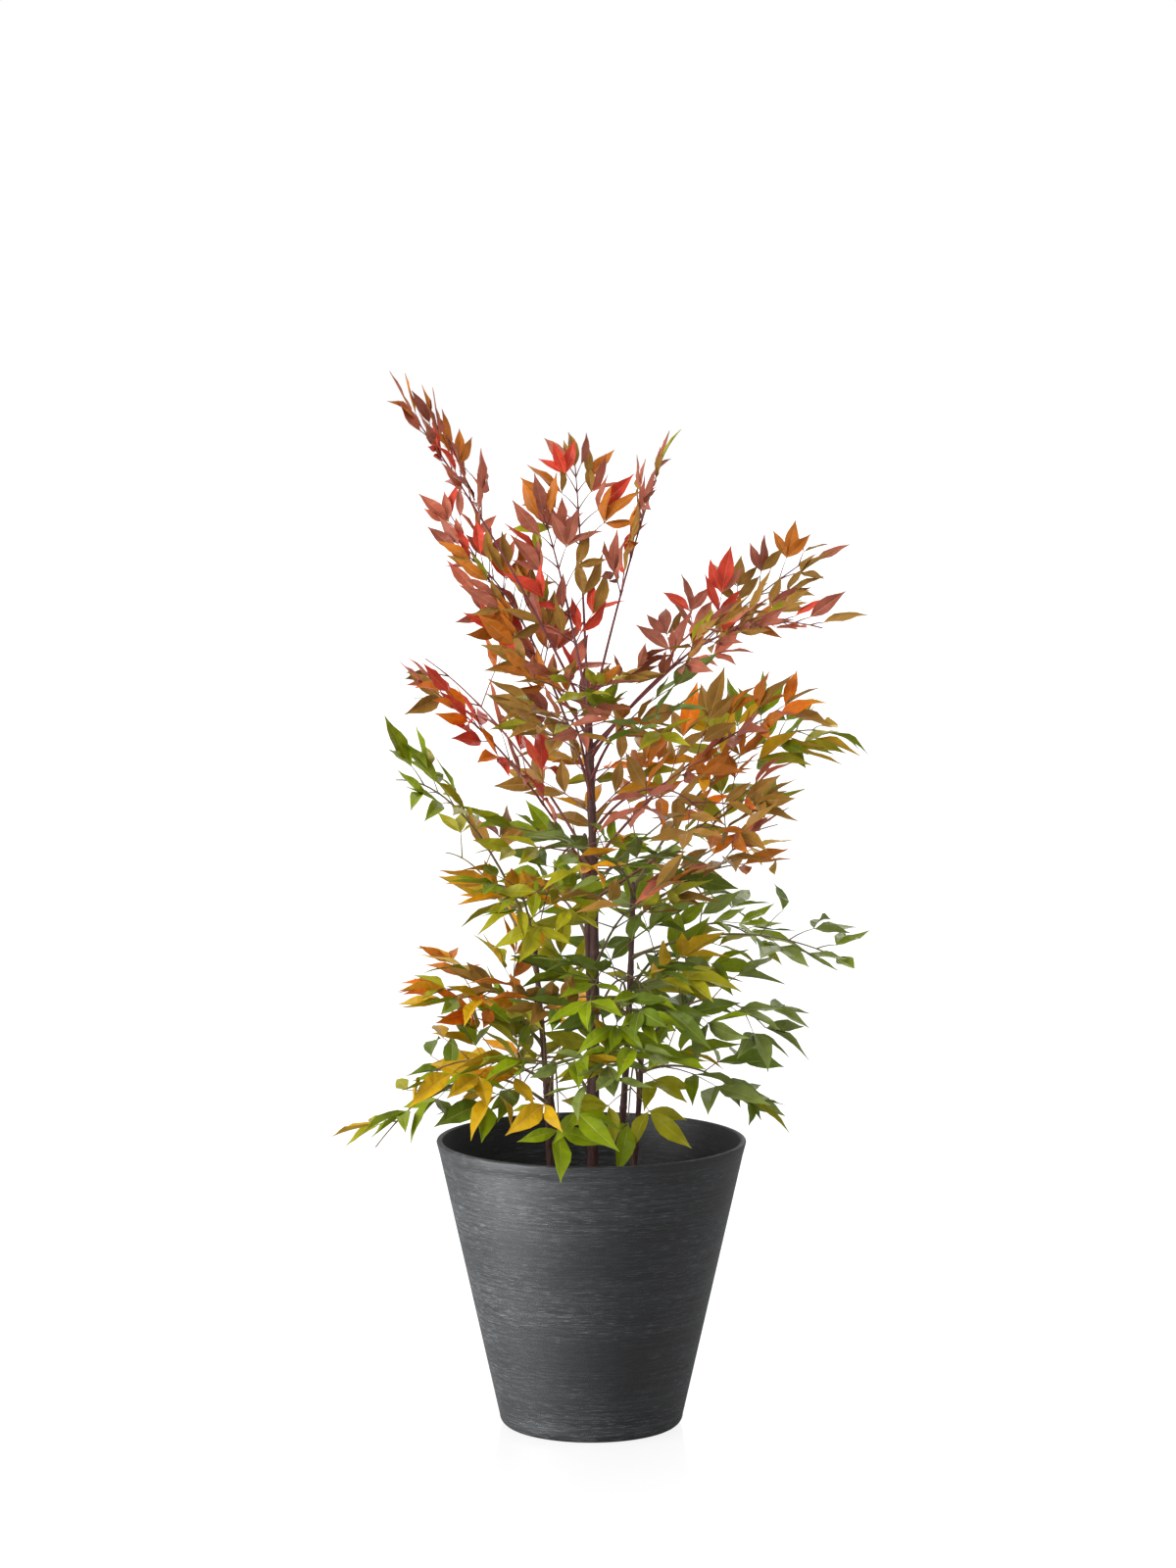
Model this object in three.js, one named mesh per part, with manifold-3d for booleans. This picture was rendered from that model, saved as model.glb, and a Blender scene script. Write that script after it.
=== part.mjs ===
// Heavenly bamboo, a clump of upright canes with open, twice-divided fronds, growing in a tapered
// round pot. Lengths are in millimetres and angles in degrees. +Z is up, and the origin is the centre
// of the pot's underside. Headings are seen from above: 0 points along +X and 90 along +Y.
import * as THREE from "three";
import { mergeVertices } from "three/addons/utils/BufferGeometryUtils.js";
import Module from "manifold-3d";

const { Vector3 } = THREE;
const { degToRad, lerp } = THREE.MathUtils;
const UP = new Vector3(0, 0, 1);

const wasm = await Module();
wasm.setup();

// ---------------------------------------------------------------- Driving dimensions

const GAP = 0.3; // clearance between pieces that meet
const ROOM = 0.8; // least clearance of a twig or leaf to limbs and to other fronds
const FINE = 0.01; // a shape changes by no more than this when its flat faces are joined
const COARSE = [0.25, 0.22, 0.19, 0.16, 0.12, 0.08, 0.04]; // and a blade by the first that leaves it sound
const CORNER = 1e-3; // corners closer than this are one

const POT = {
  height: 345,
  rimRadius: 185,
  footRadius: 107.5, // of the cone where it would meet the ground
  wall: 7,
  floor: 10,
  footEdge: 12, // rounding under the foot
  lipEdge: 2.4, // rounding of the lip
  facets: 36,
};

const SOIL = { belowRim: 70, dome: 4, facets: 32 };
const SOIL_TOP = POT.height - SOIL.belowRim;
const PLANT_FOOT = SOIL_TOP + GAP;

// Canes stand on the soil. Their places are measured from the middle of the soil's surface.
const CANE = { flare: 0.7, flareHeight: 16, jointGap: 58, jointSwell: 0.16, sides: 6 };
const CANES = {
  main: { foot: [2, 6], top: [-4, 0], height: 583, radius: 5.2, tip: 4.6, sway: [5, 3] },
  right: { foot: [30, -6], top: [50, 0], height: 379, radius: 4.3, tip: 3.1, sway: [3, -3] },
  left: { foot: [-48, -4], top: [-69, 4], height: 314, radius: 3.8, tip: 2.8, sway: [3, 2] },
  right_short: { foot: [46, -26], top: [60, -36], height: 192, radius: 3.9, tip: 2.8, sway: [2, 1] },
  left_short: { foot: [-28, -38], top: [-50, -54], height: 154, radius: 3.6, tip: 2.6, sway: [-2, 1] },
  back: { foot: [0, 42], top: [-8, 66], height: 430, radius: 4.4, tip: 3.2, sway: [2, 4] },
};

// The fronds, tier by tier. A frond leaves its cane at a height, runs out along its heading by its
// reach, and climbs by its lift. Its bow is how far its middle stands above the straight line, and its
// spread is the length of its longest twigs. Its first twigs leave it at a share of its length.
const frond = (cane, at, heading, reach, lift, bow, spread, first, seed) => ({
  cane,
  at,
  heading,
  reach,
  lift,
  bow,
  spread,
  first,
  seed,
});

const CROWN = {
  left_high: frond("main", 574, -159, 217, 357, 18, 39, 0.6, 318),
  left_low: frond("main", 484, 159, 170, 285, 55, 38, 0.15, 543),
  left_back: frond("main", 551, 148, 196, 259, -5, 46, 0.3, 506),
  centre: frond("main", 584, 131, 81, 228, 17, 43, 0.25, 654),
  right_high: frond("main", 564, -34, 96, 298, 16, 60, 0.45, 917),
  right: frond("main", 536, 32, 324, 224, 13, 54, 0.35, 132),
  right_low: frond("main", 525, -36, 326, 166, 59, 37, 0.3, 640),
  front: frond("main", 539, -91, 192, 75, 29, 86, 0.3, 365),
  front_right: frond("main", 497, -60, 160, 70, 39, 72, 0.4, 40),
  back: frond("main", 548, 98, 120, 320, 30, 41, 0.6, 983),
};
const MIDDLE = {
  left: frond("main", 377, -152, 211, 236, 25, 46, 0.3, 487),
  left_back: frond("back", 406, 150, 227, 227, 26, 84, 0.6, 707),
  right: frond("main", 400, -11, 233, 185, 29, 58, 0.25, 682),
  right_low: frond("main", 357, -18, 198, 143, -4, 91, 0.6, 649),
  front_left: frond("main", 474, -101, 185, 95, 48, 78, 0.2, 473),
  front_right: frond("main", 436, -41, 192, 18, 51, 92, 0.45, 93),
  front: frond("main", 388, -111, 174, -42, 59, 88, 0.2, 189),
  back: frond("main", 410, 89, 180, 73, 43, 89, 0.15, 165),
};
const SIDE = {
  right_high: frond("right", 370, 32, 279, 176, 56, 49, 0.45, 888),
  right_front: frond("right", 330, -37, 161, 81, 16, 87, 0.4, 207),
  right_back: frond("right", 350, 31, 206, 86, 14, 60, 0.6, 993),
  right: frond("right", 288, -5, 244, 4, 28, 44, 0.6, 747),
  right_low: frond("right", 249, 35, 195, 42, 48, 62, 0.15, 94),
  left_high: frond("left", 310, -151, 182, 198, 50, 46, 0.45, 960),
  left_back: frond("left", 270, 134, 162, 130, 33, 68, 0.55, 427),
  left_front: frond("left", 295, -103, 137, 82, 36, 55, 0.15, 902),
  left: frond("left", 211, -146, 134, 35, 23, 55, 0.15, 831),
  left_low: frond("left", 181, 179, 118, 67, 21, 70, 0.25, 908),
  back_left: frond("back", 301, 123, 114, 35, 26, 57, 0.4, 395),
  back_right: frond("back", 359, 51, 186, 86, 5, 87, 0.2, 358),
  front_high: frond("right", 361, -101, 178, 43, 23, 82, 0.2, 38),
  front_middle: frond("main", 273, -75, 215, 105, 19, 76, 0.35, 389),
  front_left: frond("left", 244, -41, 199, 0, 43, 81, 0.45, 208),
  front_right: frond("right", 214, -96, 146, 16, 47, 90, 0.15, 548),
  back: frond("back", 319, 96, 182, 104, 15, 60, 0.15, 389),
};
const LOW = {
  front: frond("left", 136, -92, 115, 109, 23, 72, 0.5, 441),
  left: frond("left_short", 145, -168, 152, 14, 24, 57, 0.15, 893),
  left_far: frond("left_short", 115, 178, 210, -48, 59, 59, 0.15, 309),
  front_left: frond("left_short", 130, -85, 114, -20, 59, 64, 0.2, 160),
  front_right: frond("right_short", 124, -102, 67, -18, 54, 58, 0.2, 512),
  front_middle: frond("right_short", 169, -114, 162, -3, 24, 86, 0.25, 640),
  middle: frond("main", 204, -85, 166, -18, 38, 89, 0.2, 783),
  right: frond("right_short", 156, 14, 119, -28, 17, 91, 0.15, 2),
  right_front: frond("right_short", 184, -8, 147, 28, 46, 65, 0.25, 512),
  back_left: frond("back", 110, 129, 138, -8, 45, 86, 0.4, 567),
  back_right: frond("back", 177, 51, 108, 19, 60, 85, 0.15, 8),
};

// These fronds have a long bare stalk, which is a piece of its own up to the first twigs. The others
// are leafy close to the cane, and each is one piece.
const LONG_STALKS = new Set([
  "crown_left_high",
  "crown_right",
  "crown_right_low",
  "middle_left",
  "middle_right",
  "side_right_high",
]);

// Each tier's leaves: their length in life, and how far they point up from the twig, or down.
const TIERS = {
  crown: { fronds: CROWN, leaf: 46, perk: 0.4, material: "red_leaf" },
  middle: { fronds: MIDDLE, leaf: 56, perk: 0.15, material: "bronze_leaf" },
  side: { fronds: SIDE, leaf: 57, perk: 0.08, material: "green_leaf" },
  low: { fronds: LOW, leaf: 62, perk: 0, material: "gold_leaf" },
};

// How far the crown reaches at each height above the soil: [height, to the left, to the right]. Its
// reach to the front and the back is a share of the mean of the two.
const DEPTH = 0.95;
const OUTLINE = [
  [44, 185, 195],
  [62, 312, 240],
  [80, 320, 250],
  [110, 262, 255],
  [190, 200, 275],
  [240, 235, 270],
  [285, 255, 325],
  [325, 210, 338],
  [350, 175, 285],
  [390, 190, 240],
  [460, 210, 245],
  [505, 232, 300],
  [530, 245, 372],
  [555, 247, 345],
  [580, 247, 305],
  [645, 245, 305],
  [668, 160, 335],
  [705, 155, 358],
  [775, 190, 330],
  [815, 208, 285],
  [845, 215, 130],
  [992, 248, 95],
];
const SQUARENESS = 4; // 2 makes the crown round seen from above, and more makes it squarer

// A frond's stalk tapers from its foot on the cane to its leafy blade, and on to its tip.
const STALK = {
  footRadius: 3,
  bladeRadius: 2.3,
  tipRadius: 1.8,
  sides: 5,
  steps: 3,
  bladeSides: 4,
  bladeSteps: 3,
  roll: 38, // how far the blades at the sides turn their faces to the front
};

// Twigs leave the stalk in pairs.
const TWIG = {
  pairGap: 0.66, // as a share of the longest twig
  start: 0.16, // of the way from one pair's place to the next
  openAngle: 60, // between twig and stalk, at the first pair
  closeAngle: 30, // at the last
  gather: 0.5, // how much closer they stand in a frond whose leaves point up
  jitter: 16,
  shorten: 0.68, // from the first pair to the last
  cup: 0.16,
  radius: 1.5,
  tipRadius: 1.2,
};

// Leaves stand along a twig and at its tip. They are fewer and larger than in life.
const LEAF = {
  grow: 1.74,
  shrink: 0.34, // from the first pair of twigs to the tip of the frond
  width: 0.43, // this and the next three are shares of a leaf's length
  keel: 0.06,
  bend: 0.08,
  widest: 0.4,
  gap: 54,
  lowest: 0.24, // share of the twig below the first leaf
  angle: 44,
  jitter: 16,
  sway: 0.5,
  tilt: 60,
  turns: 4, // that a leaf may try
  sunk: 0.1, // how far the root of a leaf lies past the middle of its twig
  tipSunk: 1, // and inside the tip of its twig
  seeds: 1000, // added to a frond's seed for its leaves
};

// ---------------------------------------------------------------- Seeded numbers and lines

// A repeatable run of numbers from 0 to 1.
function seeded(seed) {
  let state = seed * 7919 + 17;
  return () => {
    state = (state * 16807) % 2147483647;
    return state / 2147483647;
  };
}

const caneLine = ({ foot, top, height, sway }) => (t) => {
  const bend = Math.sin(Math.PI * t);
  const [x, y] = [0, 1].map((axis) => lerp(foot[axis], top[axis], t) + sway[axis] * bend);
  return new Vector3(x, y, height * t);
};

function frondLine(frond) {
  const cane = CANES[frond.cane];
  const foot = caneLine(cane)(frond.at / cane.height);
  const heading = degToRad(frond.heading);
  const out = new Vector3(Math.cos(heading) * frond.reach, Math.sin(heading) * frond.reach, frond.lift);
  return (t) => foot.clone().addScaledVector(out, t).addScaledVector(UP, frond.bow * 4 * t * (1 - t));
}

// The same line in straight lengths, as many as there are steps from one share of it to the other.
function facetted(line, from, to, steps) {
  return (t) => {
    const step = Math.min(steps - 1, Math.max(0, Math.floor(((t - from) / (to - from)) * steps)));
    const [a, b] = [step, step + 1].map((end) => lerp(from, to, end / steps));
    return line(a).lerp(line(b), (t - a) / (b - a));
  };
}

const straight = (root, direction, length) => (t) => root.clone().addScaledVector(direction, length * t);

function tangent(line, t) {
  const step = 1e-3;
  return line(t + step).sub(line(t - step)).normalize();
}

function lineLength(line) {
  const steps = 16;
  let sum = 0;
  for (let i = 0; i < steps; i++) sum += line(i / steps).distanceTo(line((i + 1) / steps));
  return sum;
}

// The level direction across a frond.
function acrossFrond(frond) {
  const heading = degToRad(frond.heading);
  return new Vector3(-Math.sin(heading), Math.cos(heading), 0);
}

// ---------------------------------------------------------------- Shapes

function solidOf(geometry) {
  const bare = geometry.clone().deleteAttribute("normal").deleteAttribute("uv");
  const merged = mergeVertices(bare, 1e-4);
  return new wasm.Manifold(
    new wasm.Mesh({
      numProp: 3,
      vertProperties: merged.getAttribute("position").array,
      triVerts: new Uint32Array(merged.index.array),
    }),
  );
}

function geometryOf(solid) {
  const { vertProperties, triVerts } = solid.getMesh();
  return new THREE.BufferGeometry()
    .setAttribute("position", new THREE.BufferAttribute(vertProperties, 3))
    .setIndex(new THREE.BufferAttribute(triVerts, 1));
}

const largestBody = (solid) => solid.decompose().reduce((a, b) => (b.volume() > a.volume() ? b : a));

// True when each edge has one face on either side of it, with its corners as they are written.
function isSound(solid) {
  const { vertProperties, triVerts } = solid.getMesh();
  const written = (value) => Math.trunc(Math.fround(value) / CORNER + 0.5);
  const corner = (i) => {
    const [x, y, z] = vertProperties.slice(3 * i, 3 * i + 3);
    return [x, y, z + PLANT_FOOT].map(written).join();
  };
  const edges = new Set();
  for (let i = 0; i < triVerts.length; i += 3) {
    const [a, b, c] = [0, 1, 2].map((k) => corner(triVerts[i + k]));
    const pairs = a === b || b === c || c === a ? [] : [[a, b], [b, c], [c, a]];
    for (const pair of pairs.map((ends) => ends.join(" "))) {
      if (edges.has(pair)) return false;
      edges.add(pair);
    }
  }
  return [...edges].every((pair) => edges.has(pair.split(" ").reverse().join(" ")));
}

// Two solids in one, or the first of them where the second would leave it unsound.
function fused(whole, more) {
  const both = whole.add(more);
  return isSound(both) ? both : whole;
}

// A closed limb: a cylinder of unit size wrapped along a line, from one share of the line to another.
function limb(line, side, radiusAt, sides, steps, from = 0, to = 1) {
  const shape = new THREE.CylinderGeometry(1, 1, 1, sides, steps);
  const places = shape.getAttribute("position");
  for (let i = 0; i < places.count; i++) {
    const t = lerp(from, to, places.getY(i) + 0.5);
    const along = tangent(line, t);
    const across = side.clone().addScaledVector(along, -side.dot(along)).normalize();
    const over = across.clone().cross(along);
    const radius = radiusAt(t);
    const place = line(t)
      .addScaledVector(across, places.getX(i) * radius)
      .addScaledVector(over, places.getZ(i) * radius);
    places.setXYZ(i, place.x, place.y, place.z);
  }
  return shape;
}

// A leaf: a ball of three segments and two rows drawn out to its length. It is widest below its
// middle, has a keel on its underside and bends down to its tip.
function leafShape({ root, along, face, length }) {
  const shape = new THREE.SphereGeometry(1, 3, 2);
  const places = shape.getAttribute("position");
  const across = face.clone().cross(along).normalize();
  const halfWidth = (LEAF.width * length) / 2 / Math.sin(degToRad(120));
  for (let i = 0; i < places.count; i++) {
    const [x, y, z] = [places.getX(i), places.getY(i), places.getZ(i)];
    const inMiddle = Math.abs(y) < 0.5;
    const reach = inMiddle ? LEAF.widest : (1 + y) / 2;
    const keel = inMiddle && x < 0 ? LEAF.keel : 0;
    const place = root
      .clone()
      .addScaledVector(along, reach * length)
      .addScaledVector(across, z * halfWidth)
      .addScaledVector(face, -(keel + LEAF.bend * reach ** 2) * length);
    places.setXYZ(i, place.x, place.y, place.z);
  }
  return shape;
}

// A cane's radius, with a flare at its foot and a swelling at each joint.
function caneRadius(cane, t) {
  const joints = Math.round(cane.height / CANE.jointGap);
  const swell = ((1 + Math.cos(2 * Math.PI * joints * t)) / 2) ** 2;
  const flare = CANE.flare * Math.exp((-t * cane.height) / CANE.flareHeight);
  return lerp(cane.radius, cane.tip, t) * (1 + flare + CANE.jointSwell * swell);
}

// A cane with its foot cut flat on the soil, or the same with a margin all round it.
function caneSolid(cane, margin = 0) {
  const belowSoil = 6;
  const steps = 2 * Math.round(cane.height / CANE.jointGap);
  const radiusAt = (t) => caneRadius(cane, t) + margin;
  const ends = [-belowSoil / cane.height, 1 + margin / cane.height];
  const shape = limb(caneLine(cane), new Vector3(1, 0, 0), radiusAt, CANE.sides, steps, ...ends);
  return solidOf(shape).trimByPlane([0, 0, 1], -margin);
}

// A quarter turn of a rounded edge in the pot's section.
function arc(x, z, radius, from, steps) {
  return Array.from({ length: steps + 1 }, (_, i) => {
    const angle = degToRad(from + (90 * i) / steps);
    return new THREE.Vector2(x + radius * Math.cos(angle), z + radius * Math.sin(angle));
  });
}

const turned = (profile, facets) => new THREE.LatheGeometry(profile, facets).rotateX(Math.PI / 2);
const outerRadius = (z) => lerp(POT.footRadius, POT.rimRadius, z / POT.height);
const innerRadius = (z) => outerRadius(z) - POT.wall;

function potShape() {
  const { height, floor, footEdge, lipEdge } = POT;
  const profile = [
    new THREE.Vector2(0, 0),
    ...arc(outerRadius(footEdge) - footEdge, footEdge, footEdge, -90, 3),
    ...arc(outerRadius(height) - lipEdge, height - lipEdge, lipEdge, 0, 2),
    ...arc(innerRadius(height) + lipEdge, height - lipEdge, lipEdge, 90, 2),
    new THREE.Vector2(innerRadius(floor), floor),
    new THREE.Vector2(0, floor),
  ];
  return turned(profile, POT.facets);
}

// The soil fills the pot to its surface, clear of the flats between the pot's facets.
function soilShape() {
  const bottom = POT.floor + GAP;
  const edge = (z) => innerRadius(z) * Math.cos(Math.PI / POT.facets) - GAP;
  const profile = [
    new THREE.Vector2(0, bottom),
    new THREE.Vector2(edge(bottom), bottom),
    new THREE.Vector2(edge(SOIL_TOP - SOIL.dome), SOIL_TOP - SOIL.dome),
    new THREE.Vector2(edge(SOIL_TOP) / 2, SOIL_TOP),
    new THREE.Vector2(0, SOIL_TOP),
  ];
  return turned(profile, SOIL.facets);
}

// ---------------------------------------------------------------- How a frond divides

// The directions of a frond's blade where a twig leaves it. Blades at the sides turn their faces to
// the front.
function bladeFrame(frond, line, t) {
  const roll = degToRad(STALK.roll * Math.cos(degToRad(frond.heading)));
  const along = tangent(line, t);
  const level = acrossFrond(frond);
  const above = along.clone().cross(level);
  return {
    along,
    side: level.clone().multiplyScalar(Math.cos(roll)).addScaledVector(above, Math.sin(roll)),
    face: above.clone().multiplyScalar(Math.cos(roll)).addScaledVector(level, -Math.sin(roll)),
  };
}

// One turn of a leaf that leaves its twig on one hand, 0 for the leaf at the twig's tip.
function leafTurn(random, frond, share, root, direction, face, hand) {
  const angle = degToRad(LEAF.angle + LEAF.jitter * (random() - 0.5)) * hand;
  const across = face.clone().cross(direction).normalize();
  const along = direction
    .clone()
    .multiplyScalar(Math.cos(angle))
    .addScaledVector(across, Math.sin(angle))
    .addScaledVector(UP, frond.perk + LEAF.sway * (random() - 0.5))
    .normalize();
  const flat = face.clone().addScaledVector(along, -face.dot(along)).normalize();
  const edge = along.clone().cross(flat);
  const tilt = degToRad(LEAF.tilt * (2 * random() - 1));
  const size = (1 - LEAF.shrink * share) * (0.84 + 0.32 * random());
  return {
    root: root.clone().addScaledVector(hand ? along : direction, -(hand ? LEAF.sunk : LEAF.tipSunk)),
    along,
    face: flat.multiplyScalar(Math.cos(tilt)).addScaledVector(edge, Math.sin(tilt)),
    length: frond.leaf * LEAF.grow * size,
  };
}

// A leaf has a few turns to choose from, and takes the first one that it has room for.
const leafOn = (...where) => ({ turns: Array.from({ length: LEAF.turns }, () => leafTurn(...where)) });

// The leaves of one twig, its tip's first.
function leavesOn(twig, random, frond, share, face, length, hand) {
  const at = (u, turn) => leafOn(random, frond, share, twig(u), tangent(twig, u), face, turn);
  const leaves = [at(1, 0)];
  let turn = hand;
  for (let reach = length - LEAF.gap; reach > LEAF.lowest * length; reach -= LEAF.gap) {
    leaves.push(at(reach / length, turn));
    turn = -turn;
  }
  return leaves;
}

// How much of a frond's length is a bare stalk, in a piece of its own.
const bareShare = (frond) => (LONG_STALKS.has(frond.name) ? frond.first : 0);

// A frond's line, its twigs with their leaves, and the leaves at the end of its stalk.
function divide(frond) {
  const random = seeded(frond.seed);
  const leafRandom = seeded(frond.seed + LEAF.seeds);
  const curve = frondLine(frond);
  const from = bareShare(frond);
  const line = facetted(curve, from, 1, STALK.bladeSteps);
  const { first } = frond;
  const pairs = Math.max(2, Math.round((lineLength(curve) * (1 - first)) / (TWIG.pairGap * frond.spread)));
  const twigs = [];
  for (let pair = 0; pair < pairs; pair++) {
    const share = pair / pairs;
    for (const hand of [1, -1]) {
      const t = lerp(first, 1, share + (TWIG.start + 0.12 * random()) / pairs);
      const { along, side, face } = bladeFrame(frond, line, t);
      const spreading = lerp(TWIG.openAngle, TWIG.closeAngle, share) * (1 - TWIG.gather * frond.perk);
      const angle = degToRad(spreading + TWIG.jitter * (random() - 0.5));
      const direction = along
        .clone()
        .multiplyScalar(Math.cos(angle))
        .addScaledVector(side, hand * Math.sin(angle))
        .addScaledVector(face, TWIG.cup + 0.5 * (random() - 0.5))
        .normalize();
      const length = frond.spread * (1 - TWIG.shorten * share) * (0.85 + 0.3 * random());
      const twig = straight(line(t), direction, length);
      twigs.push({ line: twig, side, leaves: leavesOn(twig, leafRandom, frond, share, face, length, hand) });
    }
  }
  const { along, face } = bladeFrame(frond, line, 1);
  const ends = [0, 1, -1].map((hand) => leafOn(leafRandom, frond, 1, line(1), along, face, hand));
  return { curve, from, twigs, ends };
}

// ---------------------------------------------------------------- Growing inside each frond's own space

// True for a place inside the crown's outline.
function insideCrown(place) {
  const above = OUTLINE.findIndex((row) => row[0] > place.z);
  if (above < 1) return false;
  const [low, high] = [OUTLINE[above - 1], OUTLINE[above]];
  const share = (place.z - low[0]) / (high[0] - low[0]);
  const [left, right] = [1, 2].map((side) => lerp(low[side], high[side], share));
  const sideways = place.x / (place.x < 0 ? left : right);
  const outward = place.y / ((DEPTH * (left + right)) / 2);
  return sideways ** SQUARENESS + outward ** SQUARENESS < 1;
}

// Places on a leaf's edges and at its tip.
function leafPlaces({ root, along, face, length }) {
  const side = face.clone().cross(along).multiplyScalar((length * LEAF.width) / 2);
  const middle = root.clone().addScaledVector(along, length * LEAF.widest);
  return [middle.clone().add(side), middle.clone().sub(side), root.clone().addScaledVector(along, length)];
}

// Everything that has grown so far. A new solid keeps clear of it all, apart from what it springs from.
class Growth {
  held = [];

  constructor(limbs) {
    for (const solid of limbs) this.hold(solid);
  }

  static boxOf(solid) {
    const { min, max } = solid.boundingBox();
    return new THREE.Box3(new Vector3(...min), new Vector3(...max)).expandByScalar(ROOM);
  }

  hold(solid) {
    this.held.push({ solid, box: Growth.boxOf(solid) });
  }

  // Takes in a solid where there is room for it, and tells whether there was.
  takes(solid, parents) {
    const box = Growth.boxOf(solid);
    const room = this.held.every(
      (h) => parents.includes(h.solid) || !h.box.intersectsBox(box) || h.solid.minGap(solid, 2 * ROOM) > ROOM,
    );
    if (room) this.hold(solid);
    return room;
  }
}

function addLeaf(growth, leaf, parent) {
  for (const turn of leaf.turns) {
    if (leaf.solid || !leafPlaces(turn).every(insideCrown)) continue;
    const solid = solidOf(leafShape(turn));
    if (growth.takes(solid, [parent])) leaf.solid = solid;
  }
}

// Grows all the blades: first the stalks, then the twigs, the leaves at the tips, and last the leaves
// along the twigs. A twig or leaf that would leave the crown, or touch anything but what it springs
// from, is left out.
function grow(fronds, divided, limbs) {
  const growth = new Growth(limbs);
  divided.forEach((blade, i) => {
    blade.stalk = stalkSolid(fronds[i], blade, blade.from, 1, STALK.bladeSides, STALK.bladeSteps);
    growth.hold(blade.stalk);
  });
  for (const blade of divided) {
    const own = [blade.stalk];
    blade.twigs = blade.twigs.filter((twig) => {
      const radiusAt = (t) => lerp(TWIG.radius, TWIG.tipRadius, t);
      twig.solid = solidOf(limb(twig.line, twig.side, radiusAt, 3, 1)).simplify(FINE);
      return insideCrown(twig.line(1)) && growth.takes(twig.solid, own) && own.push(twig.solid);
    });
  }
  for (const blade of divided) for (const leaf of blade.ends) addLeaf(growth, leaf, blade.stalk);
  const most = Math.max(...divided.flatMap((blade) => blade.twigs.map((twig) => twig.leaves.length)));
  for (let turn = 0; turn < most; turn++)
    for (const { solid, leaves } of divided.flatMap((blade) => blade.twigs))
      if (leaves[turn]) addLeaf(growth, leaves[turn], solid);
}

// ---------------------------------------------------------------- Fronds as solids

function stalkRadius(frond, t) {
  const bare = bareShare(frond);
  return t < bare
    ? lerp(STALK.footRadius, STALK.bladeRadius, t / bare)
    : lerp(STALK.bladeRadius, STALK.tipRadius, (t - bare) / (1 - bare));
}

// The stalk of a frond between two shares of its line.
function stalkSolid(frond, { curve }, from, to, sides, steps) {
  return solidOf(limb(curve, acrossFrond(frond), (t) => stalkRadius(frond, t), sides, steps, from, to));
}

const clearOfCane = (solid, frond) => solid.subtract(caneSolid(CANES[frond.cane], GAP));

function bareStalk(frond, divided) {
  const end = bareShare(frond) - GAP / lineLength(divided.curve);
  return clearOfCane(stalkSolid(frond, divided, 0, end, STALK.sides, STALK.steps), frond);
}

// The blade: the leafy end of the stalk with its twigs and leaves fused on. A twig with no leaf left
// is dropped. The blade is then simplified as far as it stays one sound body.
function bladeSolid(frond, { stalk, twigs, ends }) {
  const kept = (leaves) => leaves.map((leaf) => leaf.solid).filter(Boolean);
  const pieces = [stalk, ...kept(ends)];
  for (const twig of twigs) {
    const leaves = kept(twig.leaves);
    if (leaves.length) pieces.push(twig.solid, ...leaves);
  }
  const whole = pieces.reduce(fused);
  const shapes = COARSE.map((step) => {
    const plain = whole.simplify(step);
    return largestBody(bareShare(frond) ? plain : clearOfCane(plain, frond));
  });
  const best = shapes.find(isSound);
  if (!best) throw new Error(`blade_${frond.name} has no sound shape`);
  return best;
}

// ---------------------------------------------------------------- The whole plant

const LOOKS = {
  pot: { color: 0x3f4244, roughness: 0.78 },
  soil: { color: 0x2a211b, roughness: 1 },
  cane: { color: 0x4a2f2a, roughness: 0.75 },
  stalk: { color: 0x6b3230, roughness: 0.6 },
  red_leaf: { color: 0x9c4a38, roughness: 0.5 },
  bronze_leaf: { color: 0xb0592b, roughness: 0.5 },
  green_leaf: { color: 0x65802e, roughness: 0.5 },
  gold_leaf: { color: 0xa9922a, roughness: 0.5 },
};
const materialOf = (look) => new THREE.MeshStandardMaterial({ ...look, metalness: 0 });
const materials = Object.fromEntries(Object.entries(LOOKS).map(([name, look]) => [name, materialOf(look)]));

function piece(name, geometry, material) {
  const mesh = new THREE.Mesh(geometry, materials[material]);
  mesh.name = name;
  return mesh;
}

function planter() {
  const group = new THREE.Group();
  group.add(piece("pot", potShape(), "pot"));
  group.add(piece("soil", soilShape(), "soil"));
  return group;
}

function plant() {
  const fronds = Object.entries(TIERS).flatMap(([tier, { fronds: rows, leaf, perk, material }]) =>
    Object.entries(rows).map(([name, row]) => ({ ...row, name: `${tier}_${name}`, leaf, perk, material })),
  );
  const divided = fronds.map(divide);
  const canes = Object.entries(CANES).map(([name, cane]) => ({ name, solid: caneSolid(cane) }));
  const stalks = fronds.map((row, i) => (bareShare(row) ? bareStalk(row, divided[i]) : null));
  const belowCanes = (shape) => solidOf(shape).translate(0, 0, -PLANT_FOOT);
  const potAndSoil = [potShape(), soilShape()].map(belowCanes);
  grow(fronds, divided, [...canes.map((cane) => cane.solid), ...stalks.filter(Boolean), ...potAndSoil]);

  const group = new THREE.Group();
  for (const { name, solid } of canes) group.add(piece(`cane_${name}`, geometryOf(solid), "cane"));
  fronds.forEach((row, i) => {
    if (stalks[i]) group.add(piece(`stalk_${row.name}`, geometryOf(stalks[i]), "stalk"));
    group.add(piece(`blade_${row.name}`, geometryOf(bladeSolid(row, divided[i])), row.material));
  });
  group.position.z = PLANT_FOOT;
  return group;
}

const heavenlyBamboo = new THREE.Group();
heavenlyBamboo.add(planter(), plant());

export default heavenlyBamboo;
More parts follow.
